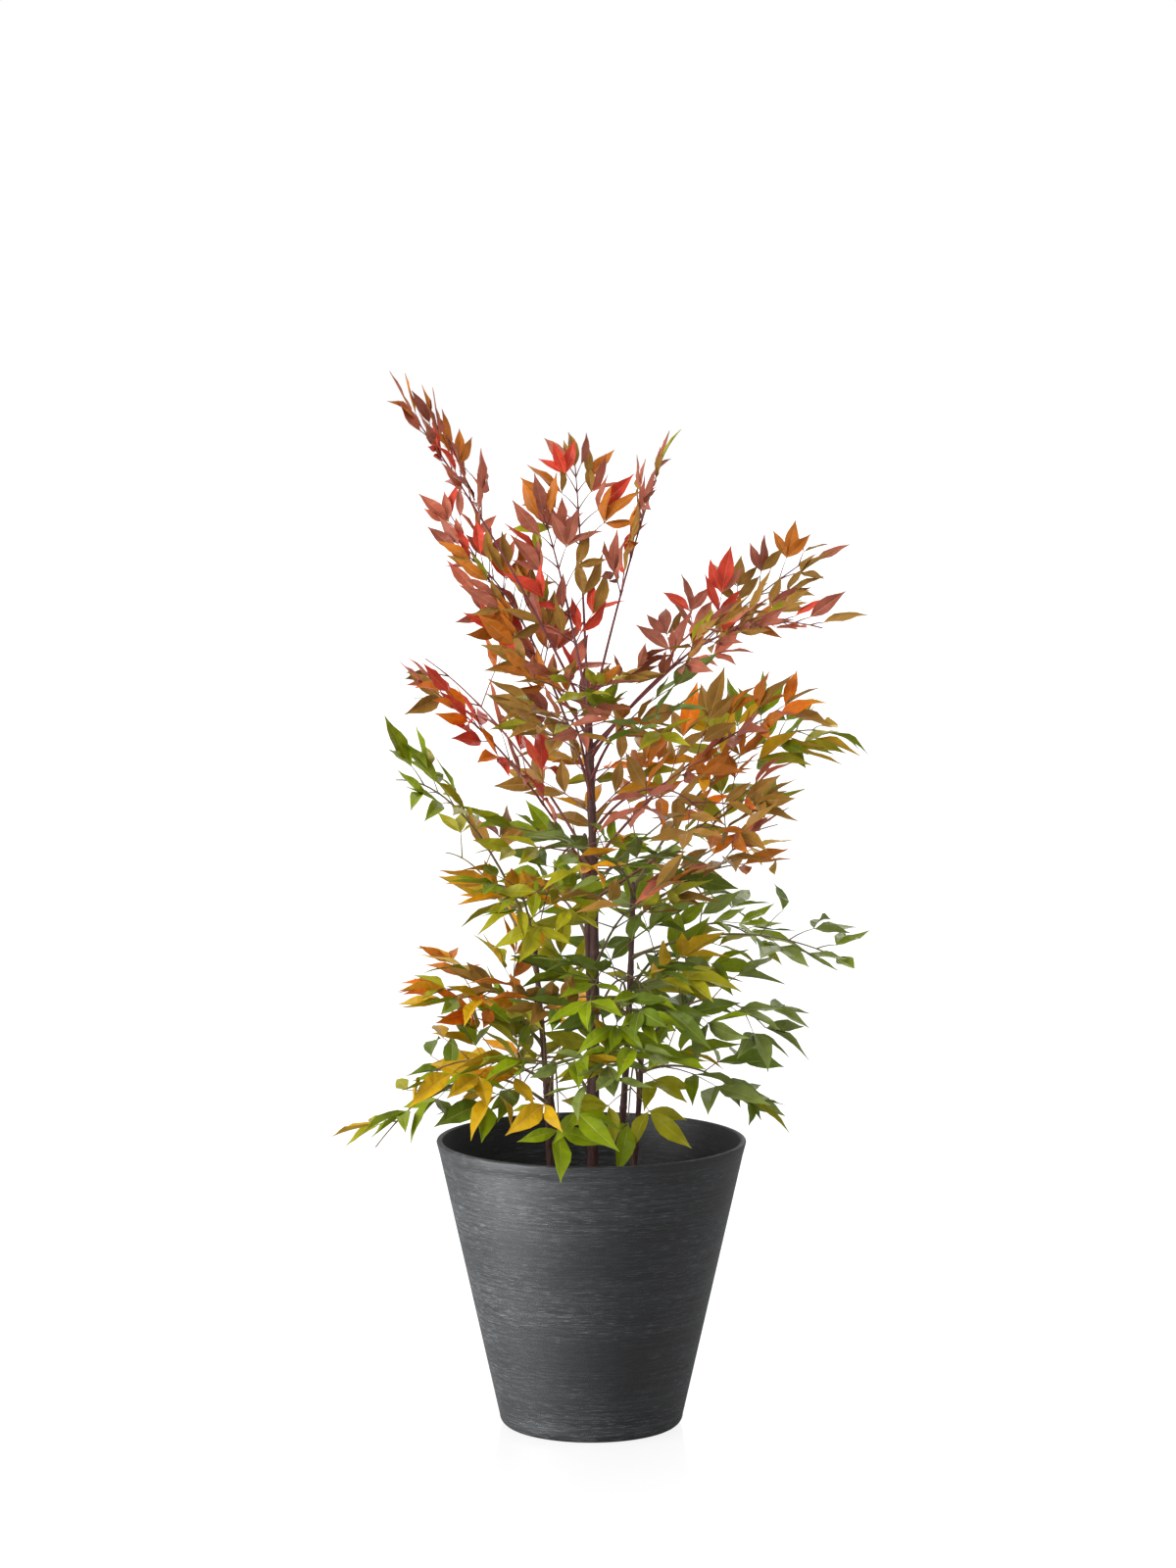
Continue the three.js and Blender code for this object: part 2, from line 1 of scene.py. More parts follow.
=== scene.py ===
"""Heavenly bamboo in a tapered round planter, in autumn leaf.

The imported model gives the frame: the pot's size, the soil's place and the height of the canes' feet.
The clump grows on from it by the same rule as its solids: canes, fronds on the canes, twigs in pairs
on each frond, and leaves in pairs and threes on each twig. Each spray of leaves has one plain tint.
"""

from collections import defaultdict, namedtuple
from functools import partial
from math import atan2, copysign, cos, exp, pi, radians, sin, sqrt

import bmesh
import bpy
import numpy as np
from bpy.props import FloatProperty, FloatVectorProperty, IntProperty, PointerProperty
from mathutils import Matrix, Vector, noise


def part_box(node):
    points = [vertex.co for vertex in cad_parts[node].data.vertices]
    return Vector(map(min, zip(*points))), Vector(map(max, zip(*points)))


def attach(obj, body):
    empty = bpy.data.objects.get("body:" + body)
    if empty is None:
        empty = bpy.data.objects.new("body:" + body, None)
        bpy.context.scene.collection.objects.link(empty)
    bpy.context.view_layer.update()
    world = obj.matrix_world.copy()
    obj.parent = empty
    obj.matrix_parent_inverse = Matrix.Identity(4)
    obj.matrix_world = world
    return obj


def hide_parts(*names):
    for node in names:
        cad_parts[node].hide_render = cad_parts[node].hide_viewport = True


bl_info = {
    "name": "Heavenly bamboo in a planter",
    "version": (1, 0, 0),
    "blender": (4, 5, 0),
    "location": "3D View > Sidebar > Heavenly bamboo",
    "description": "Builds a potted heavenly bamboo in autumn leaf around its frame",
    "category": "Add Mesh",
}

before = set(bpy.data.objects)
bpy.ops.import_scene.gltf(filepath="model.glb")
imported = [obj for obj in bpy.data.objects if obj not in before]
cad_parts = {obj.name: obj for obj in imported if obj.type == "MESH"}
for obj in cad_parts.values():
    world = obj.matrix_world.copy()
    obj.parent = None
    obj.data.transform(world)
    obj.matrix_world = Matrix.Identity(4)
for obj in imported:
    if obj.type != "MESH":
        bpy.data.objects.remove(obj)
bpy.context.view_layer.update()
POT_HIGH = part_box("pot")[1]
SOIL_LOW, SOIL_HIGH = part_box("soil")
CLUMP_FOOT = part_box("cane_main")[0].z  # height of the canes' feet, on the soil

BODY = "root"
MM = 0.001
UP = Vector((0, 0, 1))
FULL_TURN = 2 * pi


def srgb(code):
    """The linear colour of a hexadecimal colour code."""
    channels = [int(code[i : i + 2], 16) / 255 for i in (0, 2, 4)]
    return tuple(c / 12.92 if c <= 0.04045 else ((c + 0.055) / 1.055) ** 2.4 for c in channels)


def lerp(a, b, t):
    return a + (b - a) * t


# ---- The clump, in millimetres from the soil

# A cane's foot and top seen from above, its height, its radii, and how far its middle sways.
Cane = namedtuple("Cane", "foot top height radius tip sway")
CANES = {
    "main": Cane((2, 6), (-4, 0), 583, 5.2, 4.6, (5, 3)),
    "right": Cane((30, -6), (50, 0), 379, 4.3, 3.1, (3, -3)),
    "left": Cane((-48, -4), (-69, 4), 314, 3.8, 2.8, (3, 2)),
    "right_short": Cane((46, -26), (60, -36), 192, 3.9, 2.8, (2, 1)),
    "left_short": Cane((-28, -38), (-50, -54), 154, 3.6, 2.6, (-2, 1)),
    "back": Cane((0, 42), (-8, 66), 430, 4.4, 3.2, (2, 4)),
}
JOINT_GAP = 58  # between the joints of a cane
JOINT_SWELL = 0.16
FLARE = 0.7  # how much thicker a cane is at its foot
FLARE_HEIGHT = 16

# A tier's leaf length, its width as a share of that, how far its leaves point up, how far their blades
# roll about the twig, and the slot of its twigs.
Tier = namedtuple("Tier", "leaf width perk roll slot")
TIERS = {
    "crown": Tier(49, 0.3, 0.4, 1.3, "red_leaf"),
    "middle": Tier(56, 0.31, 0.15, 1.0, "bronze_leaf"),
    "side": Tier(57, 0.33, 0.08, 0.5, "green_leaf"),
    "low": Tier(61, 0.34, 0.0, 0.45, "gold_leaf"),
}

# A frond: its tier, its own name, its cane and where it leaves that, its heading, reach, lift and bow,
# its longest twig, the bare share of its stalk, the seed of its twigs, and the palette of its sprays.
Frond = namedtuple("Frond", "tier name cane at heading reach lift bow spread bare seed palette")
FROND_ROWS = {
    "crown": [
        ("left_high", "main", 574, -159, 217, 357, 18, 39, 0.6, 318, "ember"),
        ("left_low", "main", 484, 159, 170, 285, 55, 38, 0.15, 543, "russet"),
        ("left_back", "main", 551, 148, 196, 259, -5, 46, 0.3, 506, "ember"),
        ("centre", "main", 584, 131, 81, 228, 17, 43, 0.25, 654, "russet"),
        ("right_high", "main", 564, -34, 96, 298, 16, 60, 0.45, 917, "russet"),
        ("right", "main", 536, 32, 324, 224, 13, 54, 0.35, 132, "russet"),
        ("right_low", "main", 525, -36, 326, 166, 59, 37, 0.3, 640, "russet"),
        ("front", "main", 539, -91, 192, 75, 29, 86, 0.3, 365, "russet"),
        ("front_right", "main", 497, -60, 160, 70, 39, 72, 0.4, 40, "shade"),
        ("back", "main", 548, 98, 120, 320, 30, 41, 0.6, 983, "russet"),
    ],
    "middle": [
        ("left", "main", 377, -152, 211, 236, 25, 46, 0.3, 487, "flame"),
        ("left_back", "back", 406, 150, 227, 227, 26, 84, 0.6, 707, "honey"),
        ("right", "main", 400, -11, 233, 185, 29, 58, 0.25, 682, "copper"),
        ("right_low", "main", 357, -18, 198, 143, -4, 91, 0.6, 649, "copper"),
        ("front_left", "main", 474, -101, 185, 95, 48, 78, 0.2, 473, "russet"),
        ("front_right", "main", 436, -41, 192, 18, 51, 92, 0.45, 93, "copper"),
        ("front", "main", 388, -111, 174, -42, 59, 88, 0.2, 189, "spring"),
        ("back", "main", 410, 89, 180, 73, 43, 89, 0.15, 165, "bronze"),
    ],
    "side": [
        ("right_high", "right", 370, 32, 279, 176, 56, 49, 0.45, 888, "gilt"),
        ("right_front", "right", 330, -37, 161, 81, 16, 87, 0.4, 207, "copper"),
        ("right_back", "right", 350, 31, 206, 86, 14, 60, 0.6, 993, "gilt"),
        ("right", "right", 288, -5, 244, 4, 28, 44, 0.6, 747, "shade"),
        ("right_low", "right", 249, 35, 195, 42, 48, 62, 0.15, 94, "shade"),
        ("left_high", "left", 310, -151, 182, 198, 50, 46, 0.45, 960, "fern"),
        ("left_back", "left", 270, 134, 162, 130, 33, 68, 0.55, 427, "russet"),
        ("left_front", "left", 295, -103, 137, 82, 36, 55, 0.15, 902, "amber"),
        ("left", "left", 211, -146, 134, 35, 23, 55, 0.15, 831, "gilt"),
        ("left_low", "left", 181, 179, 118, 67, 21, 70, 0.25, 908, "honey"),
        ("back_left", "back", 301, 123, 114, 35, 26, 57, 0.4, 395, "fern"),
        ("back_right", "back", 359, 51, 186, 86, 5, 87, 0.2, 358, "bronze"),
        ("front_high", "right", 361, -101, 178, 43, 23, 82, 0.2, 38, "shade"),
        ("front_middle", "main", 273, -75, 215, 105, 19, 76, 0.35, 389, "bronze"),
        ("front_left", "left", 244, -41, 199, 0, 43, 81, 0.45, 208, "fern"),
        ("front_right", "right", 214, -96, 146, 16, 47, 90, 0.15, 548, "fern"),
        ("back", "back", 319, 96, 182, 104, 15, 60, 0.15, 389, "fern"),
    ],
    "low": [
        ("front", "left", 136, -92, 115, 109, 23, 72, 0.5, 441, "bronze"),
        ("left", "left_short", 145, -168, 152, 14, 24, 57, 0.15, 893, "gilt"),
        ("left_far", "left_short", 115, 178, 210, -48, 59, 59, 0.15, 309, "fern"),
        ("front_left", "left_short", 130, -85, 114, -20, 59, 64, 0.2, 160, "gilt"),
        ("front_right", "right_short", 124, -102, 67, -18, 54, 58, 0.2, 512, "gilt"),
        ("front_middle", "right_short", 169, -114, 162, -3, 24, 86, 0.25, 640, "shade"),
        ("middle", "main", 204, -85, 166, -18, 38, 89, 0.2, 783, "shade"),
        ("right", "right_short", 156, 14, 119, -28, 17, 91, 0.15, 2, "shade"),
        ("right_front", "right_short", 184, -8, 147, 28, 46, 65, 0.25, 512, "shade"),
        ("back_left", "back", 110, 129, 138, -8, 45, 86, 0.4, 567, "gilt"),
        ("back_right", "back", 177, 51, 108, 19, 60, 85, 0.15, 8, "fern"),
    ],
}
FRONDS = [Frond(tier, *row) for tier, rows in FROND_ROWS.items() for row in rows]

# How far the crown reaches at each height above the soil: (height, to the left, to the right).
OUTLINE = [
    (44, 185, 195), (62, 312, 240), (80, 320, 250), (110, 262, 255), (190, 200, 275),
    (240, 235, 270), (285, 255, 325), (325, 210, 338), (350, 175, 285), (390, 190, 240),
    (460, 210, 245), (505, 232, 300), (530, 245, 372), (555, 247, 345), (580, 247, 305),
    (645, 245, 305), (668, 160, 335), (705, 155, 358), (775, 190, 330), (815, 208, 285),
    (845, 215, 130), (992, 248, 95),
]
DEPTH = 0.95  # its reach to the front and the back, as a share of the mean of those two
SQUARENESS = 4

# A frond's twigs, in degrees and as shares of lengths.
ROLL = 38  # of the blade of a frond that heads to the side
PAIR_GAP = 0.66
PAIR_START = 0.16
PAIR_JITTER = 0.12
OPEN_ANGLE = 60
CLOSE_ANGLE = 30
TWIG_GATHER = 0.5
TWIG_JITTER = 16
TWIG_SHORTEN = 0.68
TWIG_LEAST = 0.85  # the least length of a twig, and what may come on top
TWIG_MORE = 0.3
TWIG_CUP = 0.16
CUP_JITTER = 0.5
TWIG_SAG = 0.05
TWIG_RADII = (0.95, 0.45)  # at its foot and its tip
TWIG_NODE = (0.05, 1.5)  # length and thickness of the swelling where leaves leave it
STALK_RADII = (1.9, 0.7)
STALK_NODE = (0.008, 1.35)
STALK_TIP_SHARE = 0.2  # the leaves at a frond's tip are as long as those this far along it
CLASP_LENGTH = 9.0  # a stalk clasps its cane at twice its thickness, and loses that over this length

# A frond's leaves, life-size.
LEAF_GAP = 0.6  # between pairs, as a share of a leaf's length
LEAF_LOWEST = 0.3
LEAF_SHRINK = 0.2  # from the first pair of twigs to the tip of the frond
LEAF_LEAST = 0.84  # the least length of a leaf, and what may come on top, as shares of its tier's
LEAF_MORE = 0.32
LEAF_AT_TIP = 1.16
WIDTH_LEAST = 0.86
WIDTH_MORE = 0.28
LEAF_ANGLE = 46
LEAF_JITTER = 22
LEAF_SWAY = 0.45
LEAF_TILT = 55
LEAF_LEVEL = 0.5  # how steeply a leaf points down, as a share of what its twig would give it
LEAF_TURNS = 4
LEAF_HALF = 0.17  # half a leaf's width as a share of its length, for the crown's outline
LEAF_ROOM = 0.3  # least distance between the middles of two leaves, as a share of their length

# The plain tints of the leaves, by slot, and the share of each in the sprays of a palette.
TINTS = {
    "red_leaf": {
        "bright_red": "c6402c", "dusty_red": "a25c48", "burgundy": "8f4c3b", "terracotta": "b05e47"
    },
    "bronze_leaf": {"bronze": "926a2b", "rust": "b6681e", "orange": "da7010"},
    "gold_leaf": {"amber": "cc8a10", "gold": "bc9412", "lime": "82880f"},
    "green_leaf": {
        "olive": "959018", "leaf_green": "7a8a0c", "deep_green": "5f711e", "dull_green": "727f3c"
    },
}
PALETTES = {
    "flame": {"bright_red": 4, "terracotta": 3, "orange": 2, "dusty_red": 1},
    "ember": {"dusty_red": 4, "terracotta": 3, "burgundy": 2, "bright_red": 2, "rust": 2},
    "russet": {
        "dusty_red": 4, "bronze": 4, "burgundy": 2, "rust": 2, "bright_red": 1, "terracotta": 1, "olive": 1
    },
    "copper": {"rust": 4, "bronze": 4, "terracotta": 2, "orange": 1, "amber": 1, "dusty_red": 1},
    "bronze": {"bronze": 4, "rust": 3, "olive": 2, "amber": 1, "orange": 1},
    "honey": {"orange": 3, "rust": 3, "amber": 2, "bronze": 2, "olive": 1},
    "amber": {"amber": 3, "orange": 2, "gold": 2, "lime": 1, "leaf_green": 2},
    "spring": {"lime": 2, "olive": 3, "leaf_green": 4, "amber": 1},
    "fern": {"leaf_green": 5, "olive": 2, "deep_green": 3, "gold": 1},
    "shade": {"deep_green": 4, "dull_green": 3, "leaf_green": 3, "olive": 1},
    "gilt": {"gold": 4, "olive": 2, "leaf_green": 3, "amber": 1},
}
OWN_TINT = 0.22  # share of the leaves that take a tint of their own and not their spray's


# ---- Settings


def number_prop(name, default, description, **kind):
    return FloatProperty(name=name, description=description, default=default, **kind)


def colour_prop(name, code, description):
    return FloatVectorProperty(name=name, description=description, default=srgb(code), subtype="COLOR")


length_prop = partial(number_prop, unit="LENGTH")
angle_prop = partial(number_prop, subtype="ANGLE")


class HB_PlanterSettings(bpy.types.PropertyGroup):
    """The planter: its shell and its finish."""

    height: length_prop("Height", POT_HIGH.z, "From the ground to the lip")
    rim_radius: length_prop("Rim radius", POT_HIGH.x, "Outside of the lip")
    foot_radius: length_prop("Foot radius", 0.1075, "Where the wall would meet the ground")
    wall: length_prop("Wall", 0.007, "Thickness of the wall")
    floor: length_prop("Floor", 0.01, "Thickness of the floor")
    foot_edge: length_prop("Foot edge", 0.012, "Rounding under the foot")
    lip_edge: length_prop("Lip edge", 0.0024, "Rounding of the lip")
    groove: length_prop("Groove", 0.018, "How far the faint groove lies under the lip")
    steps: IntProperty(name="Steps", description="Faces around the pot", default=144, min=24)
    colour: colour_prop("Slate", "151617", "The shell's own colour")
    streak: colour_prop("Streak", "595d60", "Colour of the brushed streaks")


class HB_SoilSettings(bpy.types.PropertyGroup):
    """The soil and the bark chips on it."""

    relief: length_prop("Relief", 0.004, "Height of the crumbs")
    chips: IntProperty(name="Chips", description="How many bark chips lie on the soil", default=520, min=0)
    chip_size: length_prop("Chip size", 0.017, "Longest side of a large chip")
    colour: colour_prop("Soil", "33271f", "Moist potting soil")
    chip_colour: colour_prop("Chip", "5b4232", "Bark chips")


class HB_WoodSettings(bpy.types.PropertyGroup):
    """Canes, stalks and twigs."""

    cane_sides: IntProperty(name="Cane sides", description="Faces around a cane", default=24, min=8)
    ring_gap: length_prop("Ring gap", 0.0026, "Distance between a cane's rings")
    relief: length_prop("Bark relief", 0.0006, "Depth of the bark's ridges")
    cane: colour_prop("Cane", "4a2c2b", "Bark of the canes")
    cane_ridge: colour_prop("Cane ridge", "7d5a4c", "Worn ridges of the bark")
    crown_stalk: colour_prop("Crown stalk", "6d3234", "Stalks of the top tier")
    middle_stalk: colour_prop("Middle stalk", "75382f", "Stalks of the second tier")
    side_stalk: colour_prop("Side stalk", "6c6038", "Stalks of the sides")
    low_stalk: colour_prop("Low stalk", "755c3c", "Stalks of the lowest tier")


class HB_LeafSettings(bpy.types.PropertyGroup):
    """The leaves."""

    thickness: length_prop("Thickness", 0.0006, "Of the blade")
    fold: angle_prop("Fold", 0.35, "How far the two halves rise from the rib")
    bend: angle_prop("Bend", 0.45, "How far a leaf bends from root to tip")


class HB_StageSettings(bpy.types.PropertyGroup):
    """Floor, light and camera."""

    floor_radius: length_prop("Floor", 60, "Radius of the floor")
    camera_place: FloatVectorProperty(
        name="Camera", description="Place of the camera", default=(-0.004, -4.8, 1.226), subtype="XYZ"
    )
    camera_dip: angle_prop("Dip", radians(5.42), "How far the camera looks down")
    lens: number_prop("Lens", 93.4, "Focal length in millimetres")
    key: number_prop("Key light", 146, "Power of the light at the left")
    fill: number_prop("Fill light", 15, "Power of the light at the right")
    back: number_prop("Back light", 55, "Power of the light behind")
    side: number_prop("Side light", 82, "Power of the light that falls on the planter's left alone")
    sky: number_prop("Sky", 0.72, "Strength of the light from all round")


# ---- Materials


def opaque(colour):
    return (*colour[:3], 1)


def set_inputs(node, values):
    """Sets inputs by name to plain values, with "_" in a name for a space."""
    for name, value in values.items():
        node.inputs[name.replace("_", " ")].default_value = value


def add_node(tree, kind, **values):
    node = tree.nodes.new(f"ShaderNode{kind}")
    set_inputs(node, values)
    return node


def link(source, target):
    source.id_data.links.new(source, target)


def stretched_noise(tree, coordinates, stretch, scale, detail, roughness=0.55):
    """A noise whose grain is packed closer by the stretch along each axis."""
    mapping = add_node(tree, "Mapping", Scale=stretch)
    grain = add_node(tree, "TexNoise", Scale=scale, Detail=detail, Roughness=roughness)
    link(coordinates, mapping.inputs["Vector"])
    link(mapping.outputs["Vector"], grain.inputs["Vector"])
    return grain.outputs["Fac"]


def spread_out(value, low, high, to_low=0.0, to_high=1.0):
    """Draws the range from low to high out to the new range."""
    node = add_node(value.id_data, "MapRange", From_Min=low, From_Max=high, To_Min=to_low, To_Max=to_high)
    link(value, node.inputs["Value"])
    return node.outputs["Result"]


def combine(operation, a, b):
    node = add_node(a.id_data, "Math")
    node.operation = operation
    link(a, node.inputs[0])
    link(b, node.inputs[1])
    return node.outputs[0]


def blend(tree, factor, a, b, kind="MIX"):
    """Mixes two colours. The factor and the colours are each a socket or a plain value."""
    node = add_node(tree, "Mix")
    node.data_type = "RGBA"
    node.blend_type = kind
    colour_in = [s for s in node.inputs if s.type == "RGBA"]
    for value, socket in ((factor, node.inputs[0]), (a, colour_in[0]), (b, colour_in[1])):
        if isinstance(value, bpy.types.NodeSocket):
            link(value, socket)
        else:
            socket.default_value = value
    return next(s for s in node.outputs if s.type == "RGBA")


def effect_group(name, inputs, outputs):
    """A node group with the sockets of those names and kinds, and its entry and exit."""
    group = bpy.data.node_groups.new(name, "ShaderNodeTree")
    for side, sockets in (("INPUT", inputs), ("OUTPUT", outputs)):
        for socket, kind in sockets.items():
            group.interface.new_socket(name=socket, in_out=side, socket_type=f"NodeSocket{kind}")
    return group, group.nodes.new("NodeGroupInput"), group.nodes.new("NodeGroupOutput")


def brushed_group():
    """Streaks that run level round a turned piece, with flecks in patches."""
    inputs = {"Vector": "Vector", "Base": "Color", "Streak": "Color"}
    outputs = {"Colour": "Color", "Roughness": "Float", "Height": "Float"}
    group, entry, leave = effect_group("brushed_streaks", inputs, outputs)
    place, tone, streak = (entry.outputs[name] for name in inputs)
    streaks = stretched_noise(group, place, (8, 8, 330), 1.0, 6.0, 0.62)
    scratches = stretched_noise(group, place, (62, 62, 1150), 1.0, 3.0, 0.6)
    patches = stretched_noise(group, place, (4, 4, 12), 1.0, 3.0, 0.5)
    grit = stretched_noise(group, place, (1, 1, 1.6), 950.0, 3.0, 0.7)
    where = spread_out(patches, 0.36, 0.64, 0.15, 1.0)
    for marks, low, high, most in ((streaks, 0.42, 0.78, 0.3), (scratches, 0.54, 0.74, 1.0)):
        mask = combine("MULTIPLY", spread_out(marks, low, high, 0.0, most), where)
        tone = blend(group, mask, tone, streak)
    tone = blend(group, 1.0, tone, spread_out(grit, 0.3, 0.7, 0.66, 1.34), "MULTIPLY")
    link(tone, leave.inputs["Colour"])
    link(spread_out(scratches, 0.3, 0.7, 0.5, 0.66), leave.inputs["Roughness"])
    link(combine("ADD", grit, scratches), leave.inputs["Height"])
    return group


def mottle_group():
    """Soft patches of a lighter and a darker tone, with a fine grain, for leaves, twigs and soil."""
    inputs = {"Vector": "Vector", "Dark": "Color", "Light": "Color", "Patch": "Float", "Grain": "Float"}
    group, entry, leave = effect_group("mottle", inputs, {"Colour": "Color", "Height": "Float"})
    patches = add_node(group, "TexNoise", Detail=2.0)
    grain = add_node(group, "TexNoise", Detail=3.0)
    for node, scale in ((patches, "Patch"), (grain, "Grain")):
        link(entry.outputs["Vector"], node.inputs["Vector"])
        link(entry.outputs[scale], node.inputs["Scale"])
    share = spread_out(patches.outputs["Fac"], 0.32, 0.68)
    tone = blend(group, share, entry.outputs["Dark"], entry.outputs["Light"])
    fine = spread_out(grain.outputs["Fac"], 0.25, 0.75, 0.84, 1.16)
    link(blend(group, 1.0, tone, fine, "MULTIPLY"), leave.inputs["Colour"])
    link(grain.outputs["Fac"], leave.inputs["Height"])
    return group


GROUPS = {"brushed_streaks": brushed_group, "mottle": mottle_group}


def new_material(name):
    """A material with its node tree and its shader."""
    material = bpy.data.materials.new(name)
    material.use_nodes = True
    return material, material.node_tree, material.node_tree.nodes["Principled BSDF"]


def add_relief(tree, shader, height, strength, depth):
    relief = add_node(tree, "Bump", Strength=strength, Distance=depth)
    link(height, relief.inputs["Height"])
    link(relief.outputs["Normal"], shader.inputs["Normal"])


def finish_material(name, group_name, values, bump, bump_depth=0.0004, **sockets):
    """A material whose colour and relief come from one shared effect group, built on its first use."""
    material, tree, shader = new_material(name)
    effect = add_node(tree, "Group")
    effect.node_tree = bpy.data.node_groups.get(group_name) or GROUPS[group_name]()
    set_inputs(effect, values)
    set_inputs(shader, sockets)
    link(add_node(tree, "TexCoord").outputs["Object"], effect.inputs["Vector"])
    link(effect.outputs["Colour"], shader.inputs["Base Color"])
    if "Roughness" in effect.outputs:
        link(effect.outputs["Roughness"], shader.inputs["Roughness"])
    if bump:
        add_relief(tree, shader, effect.outputs["Height"], bump, bump_depth)
    return material


def shade(colour, factor):
    return tuple(min(1.0, c * factor) for c in colour)


def toward(colour, other, share):
    return tuple(lerp(a, b, share) for a, b in zip(colour, other))


def mottled(name, colour, patch, grain, depth, bump=0.3, **sockets):
    """A mottled finish a little darker and a little lighter than the colour."""
    dark, light = (opaque(shade(colour, factor)) for factor in (1 - depth, 1 + depth))
    values = {"Dark": dark, "Light": light, "Patch": patch, "Grain": grain}
    return finish_material(name, "mottle", values, bump, **sockets)


PALE_UNDERSIDE = srgb("a09a68")
PALE_RIB = srgb("d8c08a")


def leaf_materials(tint, colour):
    """Upper face, underside and rib of a leaf."""
    parts = (
        ("", colour, 34.0, 0.12, 0.42, 0.15),
        ("_under", toward(colour, PALE_UNDERSIDE, 0.06), 34.0, 0.1, 0.6, 0.1),
        ("_rib", toward(colour, PALE_RIB, 0.25), 60.0, 0.1, 0.5, 0.1),
    )
    made = []
    for part, own, patch, depth, rough, gloss in parts:
        look = {"Roughness": rough, "Specular_IOR_Level": gloss}
        made.append(mottled(f"leaf_{tint}{part}", own, patch, 60.0, depth, 0.0, **look))
    return made


# ---- Pieces


def add_object(name, data):
    made = bpy.data.objects.new(name, data)
    bpy.context.scene.collection.objects.link(made)
    return made


def piece_from(mesh, materials, slot, replaces=()):
    """Makes a mesh a finished piece of its name that rides with the plant."""
    for material in materials:
        mesh.materials.append(material)
    piece = add_object(mesh.name, mesh)
    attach(piece, BODY)
    if replaces:
        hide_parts(*replaces)


def mesh_from(bm, name, smooth=True):
    mesh = bpy.data.meshes.new(name)
    for face in bm.faces:
        face.smooth = smooth
    bm.to_mesh(mesh)
    bm.free()
    return mesh


def joined_mesh(name, copies, faces):
    """One mesh of many copies of a shape: an array (copies, vertices, 3) and the shape's faces."""
    count, size = copies.shape[:2]
    sides = faces.shape[1]
    mesh = bpy.data.meshes.new(name)
    mesh.vertices.add(count * size)
    mesh.vertices.foreach_set("co", copies.astype(np.float32).ravel())
    corners = (faces[None] + (np.arange(count) * size)[:, None, None]).ravel()
    mesh.loops.add(len(corners))
    mesh.loops.foreach_set("vertex_index", corners.astype(np.int32))
    mesh.polygons.add(count * len(faces))
    mesh.polygons.foreach_set("loop_start", np.arange(0, len(corners), sides, dtype=np.int32))
    mesh.shade_flat()
    mesh.update(calc_edges=True)
    return mesh


def turned(profile, steps):
    """A closed solid of revolution from (radius, height) pairs that start and end on the axis."""
    bm = bmesh.new()
    points = [bm.verts.new((radius, 0, height)) for radius, height in profile]
    edges = [bm.edges.new(pair) for pair in zip(points, points[1:])]
    turn = {"cent": (0, 0, 0), "axis": UP, "angle": FULL_TURN, "steps": steps, "use_merge": True}
    bmesh.ops.spin(bm, geom=points + edges, **turn)
    bmesh.ops.remove_doubles(bm, verts=bm.verts, dist=1e-6)
    bmesh.ops.recalc_face_normals(bm, faces=bm.faces)
    return bm


def rounded(centre, radius, start, steps):
    """A quarter turn of a rounded edge, from an angle in degrees."""
    turn = [radians(start + 90 * i / steps) for i in range(steps + 1)]
    return [(centre[0] + radius * cos(a), centre[1] + radius * sin(a)) for a in turn]


GROOVE_DEPTH = 0.0003
GROOVE_EDGE = 0.0012


def outer_radius(planter, z):
    """Of the planter's wall at a height."""
    return lerp(planter.foot_radius, planter.rim_radius, z / planter.height)


def pot_profile(planter):
    def wall_at(z, inward=0.0):
        return outer_radius(planter, z) - inward, z

    height, wall, foot, lip = planter.height, planter.wall, planter.foot_edge, planter.lip_edge
    groove = height - planter.groove
    rim = outer_radius(planter, height)
    return [
        (0, 0),
        (outer_radius(planter, 0) * 0.5, 0),
        *rounded((outer_radius(planter, foot) - foot, foot), foot, -90, 8),
        *(wall_at(share * height) for share in (0.06, 0.3, 0.6)),
        wall_at(groove - GROOVE_EDGE),
        wall_at(groove, GROOVE_DEPTH),
        wall_at(groove + GROOVE_EDGE),
        *rounded((rim - lip, height - lip), lip, 0, 6),
        *rounded((rim - wall + lip, height - lip), lip, 90, 6),
        *(wall_at(share * height, wall) for share in (0.8, 0.4)),
        wall_at(planter.floor, wall),
        (0, planter.floor),
    ]


class HB_OT_pot(bpy.types.Operator):
    """Turn the planter's shell."""

    bl_idname = "hb.pot"
    bl_label = "Planter"

    def execute(self, context):
        planter = context.scene.hb_planter
        shell = mesh_from(turned(pot_profile(planter), planter.steps), "planter_shell")
        values = {"Base": opaque(planter.colour), "Streak": opaque(planter.streak)}
        finish = finish_material(
            "brushed_slate", "brushed_streaks", values, 0.35, 0.0005, Specular_IOR_Level=0.32
        )
        piece_from(shell, [finish], "pot", ["pot"])
        return {"FINISHED"}


SOIL_DOME = 0.004  # how far the soil falls from its middle to its edge
SOIL_GAP = 0.0006  # between the soil and the planter's wall, at the floor
SOIL_RINGS = 44
SOIL_STEPS = 120
CHIPS_SEED = 7
CHIPS_REACH = 0.97  # share of the soil's radius


def soil_height(x, y, relief):
    """How high the crumbs stand at a place on the soil: clods, crumbs and grit."""
    kinds = ((22, 0.3, 0.9), (120, 1.7, 0.5), (340, 5.1, 0.25))
    return relief * sum(share * noise.noise(Vector((x * fine, y * fine, z))) for fine, z, share in kinds)


